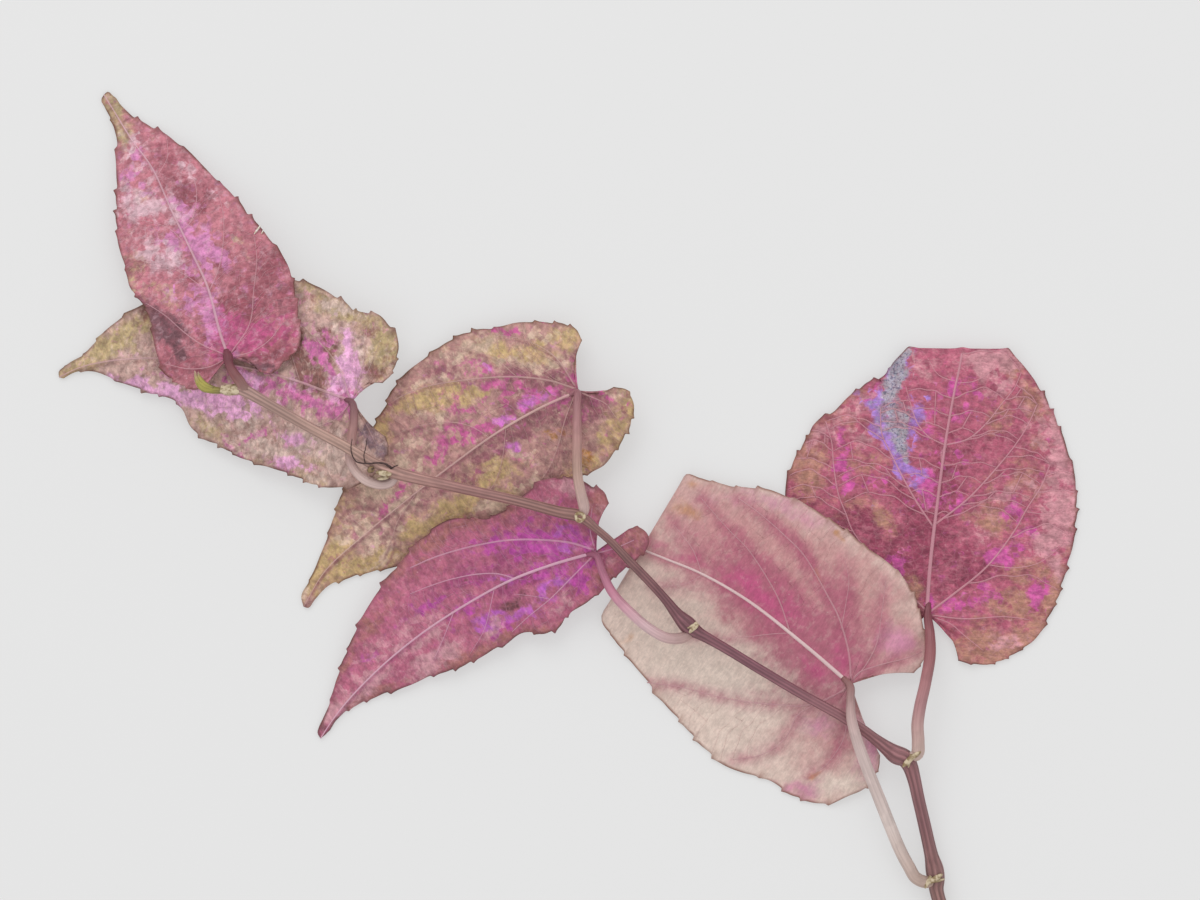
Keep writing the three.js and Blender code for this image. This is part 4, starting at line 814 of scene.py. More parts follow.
def new_piece(name, points, faces, material, slot, nodes, floats=None, vectors=None):
    """Puts points and triangles into a mesh, turns it outwards if its volume is negative, gives it
    its attributes and material, and hands it to the frame."""
    corner = points[faces]
    if (corner[:, 0] * np.cross(corner[:, 1], corner[:, 2])).sum() < 0:
        faces = faces[:, ::-1]
    mesh = bpy.data.meshes.new(name)
    mesh.vertices.add(len(points))
    mesh.vertices.foreach_set("co", points.astype(np.float32).ravel())
    mesh.loops.add(faces.size)
    mesh.loops.foreach_set("vertex_index", faces.astype(np.int32).ravel())
    mesh.polygons.add(len(faces))
    mesh.polygons.foreach_set("loop_start", np.arange(0, faces.size, 3, dtype=np.int32))
    mesh.polygons.foreach_set("use_smooth", np.ones(len(faces), bool))
    for kind, field, layers in (("FLOAT", "value", floats), ("FLOAT_VECTOR", "vector", vectors)):
        for label, values in (layers or {}).items():
            layer = mesh.attributes.new(label, kind, "POINT")
            layer.data.foreach_set(field, values.astype(np.float32).ravel())
    mesh.materials.append(material)
    mesh.update()
    if mesh.validate():
        raise RuntimeError(name + " had broken faces")
    piece = bpy.data.objects.new(name, mesh)
    bpy.context.scene.collection.objects.link(piece)
    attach(piece, "root")
    if nodes:
        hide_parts(*nodes)


class Nodes:
    """Adds nodes to a tree and joins them."""

    def __init__(self, tree):
        self.tree = tree

    def feed(self, node, inputs):
        """Sets inputs of a node: a socket is joined to it, anything else is its value."""
        for key, value in inputs.items():
            if isinstance(value, bpy.types.NodeSocket):
                self.tree.links.new(value, node.inputs[key])
            else:
                node.inputs[key].default_value = value
        return node

    def add(self, kind, inputs=None, **settings):
        """One node with its settings and its inputs."""
        node = self.tree.nodes.new(kind)
        for name, value in settings.items():
            setattr(node, name, value)
        return self.feed(node, inputs or {})

    def group(self, name, make, inputs):
        """One use of the node group of that name, which is made when it is first asked for."""
        tree = bpy.data.node_groups.get(name) or make(name)
        return self.add("ShaderNodeGroup", inputs, node_tree=tree).outputs

    def math(self, operation, a, b):
        """Two values put together by an operation."""
        return self.add("ShaderNodeMath", {0: a, 1: b}, operation=operation).outputs[0]

    def times(self, a, b):
        """The product of two values."""
        return self.math("MULTIPLY", a, b)

    def vector(self, operation, a, b):
        """Two vectors put together by an operation."""
        return self.add("ShaderNodeVectorMath", {0: a, 1: b}, operation=operation).outputs[0]

    def mix(self, amount, a, b, blend="MIX"):
        """Colour a turned to colour b by an amount."""
        node = self.add("ShaderNodeMix", {0: amount, 6: a, 7: b}, data_type="RGBA", blend_type=blend)
        return node.outputs[2]

    def shaded(self, tone, value):
        """A colour multiplied by a value."""
        grey = self.add("ShaderNodeCombineColor", {0: value, 1: value, 2: value}).outputs[0]
        return self.mix(1.0, tone, grey, "MULTIPLY")

    def ramp(self, value, low, high, start=0.0, end=1.0):
        """A smooth step: start below low, end above high."""
        node = self.add("ShaderNodeMapRange", {0: value, 1: low, 2: high, 3: start, 4: end},
                        interpolation_type="SMOOTHSTEP")
        return node.outputs[0]

    def held(self, name, output="Fac"):
        """A number that the piece holds for each point, or with the output Vector a vector."""
        return self.add("ShaderNodeAttribute", attribute_name=name).outputs[output]

    def noise(self, vector, scale, detail, roughness=0.5, distortion=0.0, output="Fac"):
        """Cloudy noise."""
        node = self.add("ShaderNodeTexNoise", {"Vector": vector, "Scale": scale, "Detail": detail,
                                               "Roughness": roughness, "Distortion": distortion})
        return node.outputs[output]

    def bump(self, height, strength, distance):
        """The normal of a surface that a height makes uneven."""
        node = self.add("ShaderNodeBump", {"Strength": strength, "Distance": distance, "Height": height})
        return node.outputs[0]


def new_group(name, inputs, outputs):
    """A node group with named sockets, and the nodes at its two ends. An input given as None is a
    vector, and any other a number."""
    tree = bpy.data.node_groups.new(name, "ShaderNodeTree")
    for label, value in inputs.items():
        kind = "NodeSocketVector" if value is None else "NodeSocketFloat"
        socket = tree.interface.new_socket(label, in_out="INPUT", socket_type=kind)
        if value is not None:
            socket.default_value = value
    for label, kind in outputs.items():
        tree.interface.new_socket(label, in_out="OUTPUT", socket_type="NodeSocket" + kind)
    nodes = Nodes(tree)
    return nodes, nodes.add("NodeGroupInput").outputs, nodes.add("NodeGroupOutput")


def pigment_group(name):
    """Turns a soft mask into an area with a mottled border: noise, and one random value for each
    cell of the net, are added before a smooth step."""
    nodes, given, out = new_group(name, {"Mask": 0.0, "Place": None, "Cells": 300.0, "Spread": 1.6,
                                         "Softness": 0.2, "Cell tone": 0.5, "Angular": 0.3},
                                  {"Amount": "Float"})
    noise = nodes.noise(given["Place"], given["Cells"], 3.5, 0.7, 0.3)
    wander = nodes.times(nodes.math("SUBTRACT", noise, 0.5), given["Spread"])
    angular = nodes.times(nodes.math("SUBTRACT", given["Cell tone"], 0.5), given["Angular"])
    level = nodes.math("ADD", nodes.math("ADD", wander, angular), given["Mask"])
    low = nodes.math("SUBTRACT", 0.5, given["Softness"])
    high = nodes.math("ADD", 0.5, given["Softness"])
    nodes.feed(out, {"Amount": nodes.ramp(level, low, high)})
    return nodes.tree


def net_group(name):
    """The finest veins: thin lines between the cells of a net that noise has bent."""
    nodes, given, out = new_group(name, {"Place": None, "Cells": 600.0, "Width": 0.1},
                                  {"Line": "Float", "Pillow": "Float", "Tone": "Color"})
    bend = nodes.noise(given["Place"], 500.0, 2.0, output="Color")
    moved = nodes.vector("ADD", given["Place"], nodes.vector("MULTIPLY", bend, (0.0012,) * 3))
    spots = {"Vector": moved, "Scale": given["Cells"]}
    edge = nodes.add("ShaderNodeTexVoronoi", spots, feature="DISTANCE_TO_EDGE").outputs["Distance"]
    cell = nodes.add("ShaderNodeTexVoronoi", spots).outputs["Color"]
    nodes.feed(out, {"Line": nodes.ramp(edge, 0.0, given["Width"], 1.0, 0.0),
                     "Pillow": nodes.ramp(edge, 0.0, 0.35), "Tone": cell})
    return nodes.tree


def fibre_group(name):
    """Lengthwise fibres: noise stretched forty times along the stalk, and faint wider patches."""
    nodes, given, out = new_group(name, {"Grain": None}, {"Streak": "Float", "Patch": "Float"})
    streak = nodes.noise(nodes.vector("MULTIPLY", given["Grain"], (60, 2400, 2400)), 1.0, 3.0)
    patch = nodes.noise(nodes.vector("MULTIPLY", given["Grain"], (160, 300, 300)), 1.0, 2.0)
    nodes.feed(out, {"Streak": nodes.ramp(streak, 0.35, 0.65), "Patch": nodes.ramp(patch, 0.4, 0.62)})
    return nodes.tree


def fibres_of(nodes):
    """Fibres along the piece's own grain."""
    return nodes.group("Lengthwise fibres", fibre_group, {"Grain": nodes.held("grain", "Vector")})


def new_material(name, roughness, specular):
    """An empty material with one shader, and what adds nodes to it."""
    material = bpy.data.materials.new(name)
    material.use_nodes = True
    nodes = Nodes(material.node_tree)
    shader = material.node_tree.nodes["Principled BSDF"]
    nodes.feed(shader, {"Roughness": roughness, "Specular IOR Level": specular})
    return material, nodes, shader


def colour(values):
    """A colour property as the four numbers that a socket takes."""
    return (*values, 1.0)


def blade_tone(nodes, name, colours):
    """Colour of a blade: the ground, six mottled pigments that keep to the cells of the fine net, a
    deeper glow beside the veins, dark blotches, pale flecks, fine fibres across the blade and a
    change of value at three scales. Gives the colour, the noise that roughens the skin, the net and
    the place that both read."""
    style = LEAF_STYLE[name]
    where = nodes.add("ShaderNodeTexCoord").outputs["Object"]
    net = nodes.group("Fine net", net_group, {"Place": where, "Cells": NET_CELLS, "Width": 0.12})
    shares = nodes.add("ShaderNodeSeparateColor", {0: net["Tone"]}).outputs
    across = nodes.held("across", "Vector")
    drawn = nodes.vector("MULTIPLY", across, (1.15, style["draw"], 1.0))
    thin = nodes.vector("MULTIPLY", across, (2200.0, 420.0, 0.0))

    def noise(scale, detail, shift, roughness=0.65, distortion=0.3, vector=drawn):
        """Noise that is shifted away from the others."""
        spot = nodes.vector("ADD", vector, (shift, -shift, 0.0))
        return nodes.noise(spot, scale, detail, roughness, distortion)

    def turned(amount, key):
        """The tone turned to one of the blade's colours by an amount."""
        return nodes.mix(amount, tone, colour(getattr(colours, key)))

    tone = colour(colours.ground)
    for count, pigment in enumerate(PIGMENTS):
        cells, spread, softness, most, angular = MOTTLE[pigment]
        spot = nodes.vector("ADD", drawn, (0.37 * count, 0.21 * count, 0.0))
        amount = nodes.group("Mottled area", pigment_group, {
            "Mask": nodes.held(pigment), "Place": spot, "Cells": cells,
            "Spread": spread * style["spread"], "Softness": softness + 0.35 * (1 - style["spread"]),
            "Cell tone": shares[count % 3], "Angular": angular * style["angular"]})["Amount"]
        tone = turned(nodes.times(amount, most), pigment)
    # Pits lie in the last pigment's areas
    pits = nodes.ramp(noise(1500.0, 3.0, 9.1, vector=where), 0.5, 0.6, 0.0, style["core"])
    tone = turned(nodes.times(amount, pits), "pit")
    # The deep tone here is glow pigment beside the veins, the band at the ladder veins, partly pigment and
    # partly painted shade, and the lee: painted shade below the midrib, the side veins and outside a crease.
    glow = nodes.math("MAXIMUM", nodes.times(nodes.held("glow"), style["glow"]),
                      nodes.times(nodes.held("shade"), style["rung_shade"]))
    glow = nodes.times(glow, nodes.ramp(noise(300.0, 4.0, 1.3), 0.3, 0.7, 0.35, 1.0))
    glow = nodes.math("MAXIMUM", glow, nodes.times(nodes.held("lee"), style["lee"]))
    tone = turned(glow, "deep")
    tone = turned(nodes.ramp(noise(620.0, 4.0, 2.7), 0.51, 0.62, 0.0, style["blotch"]), "deep")
    tone = turned(nodes.ramp(noise(480.0, 4.0, 4.1), 0.52, 0.66, 0.0, style["fleck"]), "pale")
    grain = noise(1400.0, 3.0, 7.3, vector=where)
    changes = [nodes.ramp(share, low, high, 1.0 - change, 1.0 + change) for share, low, high, change in (
        (noise(460.0, 5.0, 8.7), 0.34, 0.66, style["value"]),
        (noise(1.0, 3.0, 5.9, 0.6, 0.8, thin), 0.3, 0.7, style["fibre"]),
        (grain, 0.3, 0.7, style["grain"]), (shares[1], 0.0, 1.0, style["cell"]))]
    value = changes[0]
    for change in changes[1:]:
        value = nodes.times(value, change)
    return nodes.shaded(tone, value), grain, net, where


def leaf_material(name, colours):
    """Blade: its mottled colour with a fine net, light and dark specks and an uneven brown margin."""
    style = LEAF_STYLE[name]
    material, nodes, shader = new_material(name + " underside", 0.55, 0.25)
    tone, grain, net, where = blade_tone(nodes, name, colours)
    tone = nodes.mix(nodes.times(net["Line"], style["net"]), tone, colour(colours.vein))
    dots = nodes.add("ShaderNodeTexVoronoi", {"Vector": where, "Scale": 480.0}).outputs
    near = nodes.ramp(dots["Distance"], 0.05, 0.16, 1.0, 0.0)
    pick = nodes.add("ShaderNodeSeparateColor", {0: dots["Color"]}).outputs
    for share, low, high, fleck in ((pick[0], 0.74, 0.8, colours.pale),
                                    (pick[1], 0.88, 0.94, colours.margin)):
        amount = nodes.times(near, nodes.ramp(share, low, high, 0.0, style["speck"]))
        tone = nodes.mix(amount, tone, colour(fleck))
    broken = nodes.ramp(nodes.noise(where, 160.0, 4.0), 0.38, 0.6, 0.35, 1.0)
    edge = nodes.times(nodes.ramp(nodes.held("margin"), 0.0, 0.9 * MM, 0.95, 0.0), broken)
    edge = nodes.math("MAXIMUM", edge, nodes.times(nodes.held("point"), 0.85))
    tone = nodes.mix(edge, tone, colour(colours.margin))
    height = nodes.math("ADD", nodes.times(net["Pillow"], -0.15), grain)
    nodes.feed(shader, {"Base Color": tone, "Normal": nodes.bump(height, 0.45, 0.22 * MM),
                        "Roughness": nodes.ramp(grain, 0.3, 0.7, 0.5, 0.68)})
    return material


def vein_material(name, colours):
    """Raised veins: the blade's own colour under a thin pale skin, palest on the midrib, with fine
    lengthwise fibres."""
    material, nodes, shader = new_material(name + " veins", 0.45, 0.35)
    tone = blade_tone(nodes, name, colours)[0]
    streak = fibres_of(nodes)["Streak"]
    skin = nodes.mix(nodes.held("main"), colour(colours.vein), colour(colours.rib))
    tone = nodes.mix(nodes.times(nodes.held("skin"), LEAF_STYLE[name]["vein"]), tone, skin)
    tone = nodes.mix(nodes.times(streak, 0.12), tone, colour(colours.deep))
    nodes.feed(shader, {"Base Color": tone, "Normal": nodes.bump(streak, 0.3, 0.1 * MM)})
    return material


def stalk_material(name, stops, roughness, contrast, groove=None):
    """Stalk or stem: colours laid along its length, darker lengthwise fibres and faint patches."""
    material, nodes, shader = new_material(name, roughness, 0.3)
    fibres = fibres_of(nodes)
    band = nodes.add("ShaderNodeValToRGB", {0: nodes.held("along")})
    elements = band.color_ramp.elements
    while len(elements) < len(stops):
        elements.new(0.5)
    for element, position, values in zip(elements, np.linspace(0, 1, len(stops)), stops):
        element.position = position
        element.color = colour(values)
    dim = nodes.ramp(fibres["Streak"], 0.0, 1.0, 1.0, 1.0 - contrast)
    # Painted shade and light: darker at the bottom of each groove, lighter on each ridge.
    if groove:
        dim = nodes.times(dim, nodes.ramp(nodes.held("groove"), 0.0, 1.0, 1.12, 1.0 - groove))
    dim = nodes.times(dim, nodes.ramp(fibres["Patch"], 0.0, 1.0, 0.94, 1.08))
    nodes.feed(shader, {"Base Color": nodes.shaded(band.outputs[0], dim),
                        "Normal": nodes.bump(fibres["Streak"], 0.5, 0.15 * MM)})
    return material


def small_material(name, light, dark, cells):
    """Small cream, green or dark parts: two tones of one colour in mottled areas."""
    material, nodes, shader = new_material(name, 0.5, 0.35)
    where = nodes.add("ShaderNodeTexCoord").outputs["Object"]
    noise = nodes.noise(where, cells, 4.0)
    tone = nodes.mix(nodes.ramp(noise, 0.38, 0.66), colour(light), colour(dark))
    nodes.feed(shader, {"Base Color": tone, "Normal": nodes.bump(noise, 0.6, 0.2 * MM)})
    return material


def fold_of(leaf):
    """Point and outward direction of the fold line, or nothing for a flat blade."""
    if "fold" not in leaf:
        return None
    a, b = place(leaf["fold"])
    along = unit(b - a)
    out = np.array([along[1], -along[0]])
    tip = place(leaf["rib"][-1:])[0, :2]
    return a, out * np.sign(out @ (tip - a))


def past_fold(points, fold):
    """Distance of each point past the fold line in plan."""
    return (points[:, :2] - fold[0]) @ fold[1]


def folded(points, fold):
    """What lies past the fold line is rolled under: round a half circle of the fold radius first,
    and then flat, back under the blade."""
    if fold is None:
        return points
    radius = FOLD_RADIUS * MM
    past = np.maximum(past_fold(points, fold), 0)
    turn = np.minimum(past, np.pi * radius) / radius
    out = np.where(past < np.pi * radius, radius * np.sin(turn), np.pi * radius - past)
    moved = points.copy()
    moved[:, :2] += ((out - past) * (past > 0))[:, None] * fold[1]
    moved[:, 2] -= radius * (1 - np.cos(turn))
    return moved


def fold_shares(curve, fold, stops):
    """Shares of a curve's length at which its last points lie at the given distances past the fold."""
    last = slice(-400, None)
    return np.interp(stops, past_fold(curve[0], fold)[last], curve[1][last])


def tooth_count(step, points, seed):
    """Teeth passed so far along a margin: a slow sine changes how far apart they stand."""
    return np.maximum(step * points + 0.3 * np.sin(1.7 * step * points + seed), 0)


def tooth_rows(rows, points, seed):
    """Shares of a margin at which rows stand: they crowd where a tooth has its point, by a bell
    curve of the way between two teeth."""
    fine = np.linspace(0, 1, 4000)
    density = 1 + 3 * bell(tooth_count(fine, points, seed) % 1 - TOOTH_POINT, 0.1)
    total = np.concatenate([[0], np.cumsum(density[1:])])
    return np.interp(np.linspace(0, total[-1], rows + 1), total, fine)


def tooth_shape(step, points, tallest, seed):
    """Height of the margin's teeth: between two of them it swells by a low sine, and most of the way
    to the next stands a short point, which rises as a power and falls off steeply. Their sizes are
    drawn at random. Gives the height and the point."""
    count = tooth_count(step, points, seed)
    whole = np.floor(count).astype(int)
    part = count - whole
    rise = np.clip((part - 0.5) / (TOOTH_POINT - 0.5), 0, 1) ** 2
    point = np.where(part < TOOTH_POINT, rise, np.clip(1 - (part - TOOTH_POINT) / 0.07, 0, 1))
    sizes = 0.5 + 0.8 * np.random.default_rng(seed).random(whole.max() + 2)
    return tallest * sizes[whole] * (0.4 * np.sin(np.pi * part) + point), point


def blade_rows(leaf, rib, margin, fold, seed):
    """Rows of a half blade's grid: shares of the margin grow by a power, and shares of the rib do so
    past the fan. Past a fold, rows stand at even distances from it. Gives the share of rows,
    stretches passed, both shares, and how much of a tooth stands there."""
    teeth, fan = leaf["teeth"], leaf["fan"]
    step = tooth_rows(teeth * STRETCH_ROWS, leaf["points"], seed)
    last_u = last_g = [1.0]
    if fold is not None:
        stops = np.linspace(-FOLD_EARLY * MM, past_fold(rib[0][-1:], fold)[0], FOLD_ROWS)
        last_u, last_g = fold_shares(margin, fold, stops), fold_shares(rib, fold, stops)
    count = step * teeth
    u = last_u[0] * step**CROWD
    g = last_g[0] * (np.maximum(0, count - fan) / (teeth - fan)) ** RIB_CROWD
    fade = np.minimum(1, np.minimum(u / TEETH_START, (1 - u) / TEETH_END))
    if fold is not None:
        more = np.ones(FOLD_ROWS - 1)
        fade = np.append(np.minimum(fade, (1 - step) / TEETH_FOLD), 0 * more)
        u, g = np.append(u, last_u[1:]), np.append(g, last_g[1:])
        count, step = np.append(count, teeth * more), np.append(step, more)
    return step, count, u, g, fade


def half_blade(leaf, side, fold, tallest, seed):
    """One half of a blade as a grid. Rows run from the lobe's inner edge to the tip, columns from
    the rib to the margin. A point is the straight mix of its rib and margin points, moved sideways
    by a parabola near the lobe, and lifted by a power curve and two sine waves. Gives the points,
    distances to the margin, tooth points and the number of rows."""
    turned = 1 if side == "right" else -1
    rib = smooth_line(place(leaf["rib"]))
    margin = smooth_line(place(leaf[side]))
    step, count, u, g, fade = blade_rows(leaf, rib, margin, fold, seed)
    teeth, fan = leaf["teeth"], leaf["fan"]
    start, stop = sample(rib, g), sample(margin, u)
    across = stop - start
    reach = np.hypot(across[:, 0], across[:, 1])[:, None]
    v = np.linspace(0, 1, RIB_TO_EDGE + 1)[None, :]
    bend = turned * leaf["bow"][0 if turned > 0 else 1] * STEP * np.maximum(0, 1 - 2 * count / fan) ** 2
    bend = 4 * v * (1 - v) * (bend[:, None] / np.maximum(reach, 1e-9))
    way = unit(np.gradient(stop[:, :2], axis=0))
    height, point = tooth_shape(step, leaf["points"], tallest, seed)
    close = np.clip(1 - (1 - v) * reach / (TOOTH_DEPTH * MM), 0, 1) ** 1.5
    out = turned * (height * fade)[:, None] * close
    x = start[:, :1] + across[:, :1] * v - bend * across[:, 1:2] + out * way[:, 1:2]
    y = start[:, 1:2] + across[:, 1:2] * v + bend * across[:, :1] - out * way[:, :1]
    narrow = np.minimum(1, reach / (WAVE_WIDTH * MM))
    ripple = WAVE * np.sin(WAVE_TURN * count + teeth)[:, None] * v**3 * narrow
    quilt = QUILT * np.cos(2 * np.pi * count / QUILT_STRETCHES)[:, None] * np.sin(np.pi * v)
    live = (count < teeth)[:, None]
    z = start[:, 2:] + across[:, 2:] * v**ARCH + live * (ripple + quilt) * MM
    edge = np.minimum((1 - v) * reach, ROW_REACH * MM * np.arange(len(count))[:, None])
    tip = (point * fade)[:, None] * close
    return np.stack([x, y, z], axis=-1).reshape(-1, 3), edge.ravel(), tip.ravel(), len(count)


def blade_sheet(name, tallest):
    """Both halves of a blade as one sheet: equal points are merged, and triangles that lost a
    corner are left out. Gives flat points, triangles, distance to the margin, and tooth points."""
    leaf = LEAVES[name]
    halves = []
    for side in ("right", "left"):
        *half, rows = half_blade(leaf, side, fold_of(leaf), tallest, seed_of(name + side))
        faces = grid_faces(rows, RIB_TO_EDGE + 1)
        half.insert(1, faces if side == "left" else faces[:, ::-1])
        halves.append(half)
    points, faces, margins, tips = joined(halves)
    points[:, 2] = np.maximum(points[:, 2], BLADE / 2 * MM)
    key = np.round(points * 1e7).astype(np.int64)
    _, first, same = np.unique(key, axis=0, return_index=True, return_inverse=True)
    faces = same.ravel()[faces]
    whole = (faces != np.roll(faces, 1, axis=1)).all(1)
    return points[first], faces[whole], margins[first], tips[first]


def ladder_lines(name, rib, sides, edges):
    """Ladder veins: each is the straight mix of two points, bent towards the tip by a low sine, and
    here and there a short link joins it to the one before. It is left out where it would be too
    short, too long, too slanting or too near another vein."""
    leaf = LEAVES[name]
    draw = np.random.default_rng(seed_of(name))
    ladders = []
    axis = unit(rib[-1] - rib[0])
    for one, other in leaf["ladders"]:
        a = rib if one == -1 else sides[one]
        b = edges[other] if isinstance(other, str) else sides[other]
        others = [side for k, side in enumerate(sides) if k not in (one, other)]
        number = int(path_length(a)[-1] / (leaf["rung"] * MM))
        last = None
        for spot in (np.arange(number) + 0.8 + 0.3 * draw.random(number)) / (number + 0.8):
            p = a[int(min(spot, 0.99) * (len(a) - 1))]
            level = abs((b - p) @ axis - RUNG_RISE * MM)
            near = np.argmin(level + 0.12 * np.linalg.norm(b - p, axis=1))
            way = b[near] - p
            size = np.linalg.norm(way)
            shift, phase = draw.random(2)
            before, last = last, None
            if not RUNG_SHORTEST * MM <= size <= RUNG_LONGEST * MM or level[near] > RUNG_SLANT * MM:
                continue
            w = np.linspace(0, 1, max(5, int(size / (RUNG_SPACING * MM))))[:, None]
            square = np.array([-way[1], way[0]])
            square = square * np.sign(square @ axis)
            drift = (0.05 + 0.17 * shift) * np.sin(np.pi * w**1.3)
            wiggle = 0.018 * np.sin(2 * np.pi * (2.6 * w + phase)) * np.sin(np.pi * w)
            rung = p * (1 - w) + (p + way * 0.98) * w + square * (drift + wiggle)
            if near_lines(rung[1:-1], others).min() < RUNG_CLEAR * MM:
                continue
            ladders.append(rung)
            if before is not None and phase < 0.6 and size > RUNG_LINKED * MM:
                spot = 0.25 + 0.5 * shift
                start, end = before[int(spot * len(before))], rung[int((1.1 * spot - 0.05) * len(rung))]
                ladders.append(start + (end - start) * np.linspace(0, 1, 5)[:, None])
            last = rung
    return ladders


def vein_lines(name):
    """All vein lines of a blade in metres: midrib, side veins, and ladder veins between neighbours."""
    leaf = LEAVES[name]
    rib = sample(smooth_line(place(leaf["rib"])), np.linspace(0, 1, 90))[:, :2]
    sides = []
    for points, _ in leaf["veins"]:
        curve = smooth_line(place(np.column_stack([points, np.zeros(len(points))])), 20)
        parts = max(6, int(path_length(curve[0])[-1] / (SIDE_SPACING * MM)))
        sides.append(sample(curve, np.linspace(0, 1, parts))[:, :2])
    edges = {side: sample(smooth_line(place(leaf[side])), np.linspace(0, 0.9, 120))[:, :2]
             for side in ("right", "left")}
    return rib, sides, ladder_lines(name, rib, sides, edges)


def lift(flat, top):
    """Heights for plan points: the mean of the four nearest points of the blade's upper face,
    weighted by one over the squared distance."""
    heights = np.empty(len(flat))
    for chunk in chunks(len(flat), 300):
        far = ((flat[chunk, None, :2] - top[None, :, :2]) ** 2).sum(2)
        near = np.argpartition(far, 4, axis=1)[:, :4]
        weight = 1 / (np.take_along_axis(far, near, 1) + 1e-12)
        heights[chunk] = (top[near, 2] * weight).sum(1) / weight.sum(1)
    return heights


def ridge(flat, heights, start, end, sides, sink):
    """Half-sunk rod along a vein, its radius falling evenly from start to end."""
    size = np.linspace(start, end, len(flat)) * MM
    way = unit(np.gradient(flat, axis=0))
    side = np.column_stack([way[:, 1], -way[:, 0], np.zeros(len(flat))])
    centre = np.column_stack([flat, heights - sink * size])
    radius = np.repeat(size[:, None], sides, axis=1)
    return rod(centre, radius, side, np.array([[0, 0, 1.0]]), path_length(flat))


def oval_place(flat, x, y, long, short, turn):
    """Where plan points lie in an oval: offsets from its middle along and across it, turned by some
    degrees, as shares of its half axes."""
    away = flat - place([[x, y]])[0]
    angle = -np.radians(turn)
    along = away[:, 0] * np.cos(angle) + away[:, 1] * np.sin(angle)
    across = away[:, 1] * np.cos(angle) - away[:, 0] * np.sin(angle)
    return along / (long * STEP), across / (short * STEP)


def patch_mask(points, patches):
    """Greatest of the soft patches: each is its strength times e to the minus half the squared
    distance, measured in the patch's own turned half lengths. Noise shifts the points first."""
    drift = np.column_stack([value_noise(points, 4 * MM, 5), value_noise(points, 4 * MM, 9)]) - 0.5
    flat = points[:, :2] + drift * 4 * MM
    mask = np.zeros(len(points))
    for *oval, strength in patches:
        along, across = oval_place(flat, *oval)
        mask = np.maximum(mask, strength * np.exp(-0.5 * (along**2 + across**2)))
    return mask


def crease_masks(points, oval):
    """A pressed-in place with an oval edge that fades out towards the blade's tip: how deep each
    point lies, a shade just outside its edge, and a light rim just inside it."""
    level = np.hypot(*oval_place(points[:, :2], *oval))
    open_side = unit(np.array([-0.85, -0.5]))
    shut = np.clip(0.9 - (points[:, :2] - place([oval[:2]])[0]) @ open_side / (30 * STEP), 0, 1)
    depth = shut * np.clip((1.04 - level) / 0.08, 0, 1)
    return depth, 0.9 * shut * bell(level - 1.07, 0.06), 0.75 * shut * bell(level - 0.93, 0.05)


def leaf_markings(name, points, rib, sides, ladders):
    """What the shader reads at each point: pigments, glow beside the veins, shade on the tip side of
    the ladder veins and under the other veins, and the point's place along and across the blade."""
    leaf, style = LEAVES[name], LEAF_STYLE[name]
    axis = unit(rib[-1] - rib[0])
    flat = points[:, :2]
    values = {pigment: patch_mask(points, MARKINGS[name][pigment]) for pigment in PIGMENTS}
    values["glow"] = bell(near_lines(flat, [rib] + sides), style["glow_width"] * MM)
    values["shade"] = bell(near_lines(flat - RUNG_SHIFT * MM * axis, ladders), RUNG_WIDTH * MM)
    below = flat + [0, LEE_SHIFT * MM]
    values["lee"] = np.maximum(bell(near_lines(below, [rib]), LEE_RIB * MM),
                               LEE_SHARE * bell(near_lines(below, sides), LEE_SIDES * MM))
    # A crease adds painted shade just outside its edge to the lee, and a painted light rim just inside it to
    # the pale pigment.
    if "crease" in leaf:
        _, shade, light = crease_masks(points, leaf["crease"])
        values["lee"] = np.maximum(values["lee"], shade)
        values["pale"] = np.maximum(values["pale"], light)
    turn = np.array([axis, [-axis[1], axis[0]]]).T
    return values, np.column_stack([flat @ turn, points[:, 2]])


def build_blade(name, settings, colours, lines):
    """Blade of one leaf: a sheet sunken between its veins, most between the finest, and thickened
    along its normals. Gives the points of the flat sheet and of the upper face."""
    leaf, style = LEAVES[name], LEAF_STYLE[name]
    flat, faces, margin, tips = blade_sheet(name, settings.tooth)
    rib, sides, ladders = lines
    pocket = 1 - bell(near_lines(flat, ladders + [rib] + sides), POCKET * MM)
    broad = 1 - bell(near_lines(flat, [rib] + sides), HOLLOW * MM)
    inward = np.clip(margin / (RIM * MM), 0, 1)
    relief = style["relief"] * settings.relief * inward * (0.6 * pocket + 0.4 * broad)
    if "crease" in leaf:
        relief = relief + CREASE_DEPTH * MM * crease_masks(flat, leaf["crease"])[0]
    sheet = folded(flat, fold_of(leaf))
    normals = point_normals(sheet, faces)
    half = settings.thickness / 2
    top = sheet + normals * (half - relief)[:, None]
    bottom = sheet - normals * (half + relief)[:, None]
    bottom[:, 2] = np.maximum(bottom[:, 2], 0)
    top[:, 2] = np.maximum(top[:, 2], LOWEST_TOP * MM)
    floats, across = leaf_markings(name, flat, *lines)
    floats.update(margin=margin, point=tips)
    floats = {label: np.tile(values, 2) for label, values in floats.items()}
    vectors = {"across": np.tile(across, (2, 1))}
    new_piece(name + "_blade", np.vstack([top, bottom]), closed_shell(faces, len(flat)),
              leaf_material(name, colours), leaf["slot"], [name], floats, vectors)
    return flat, top


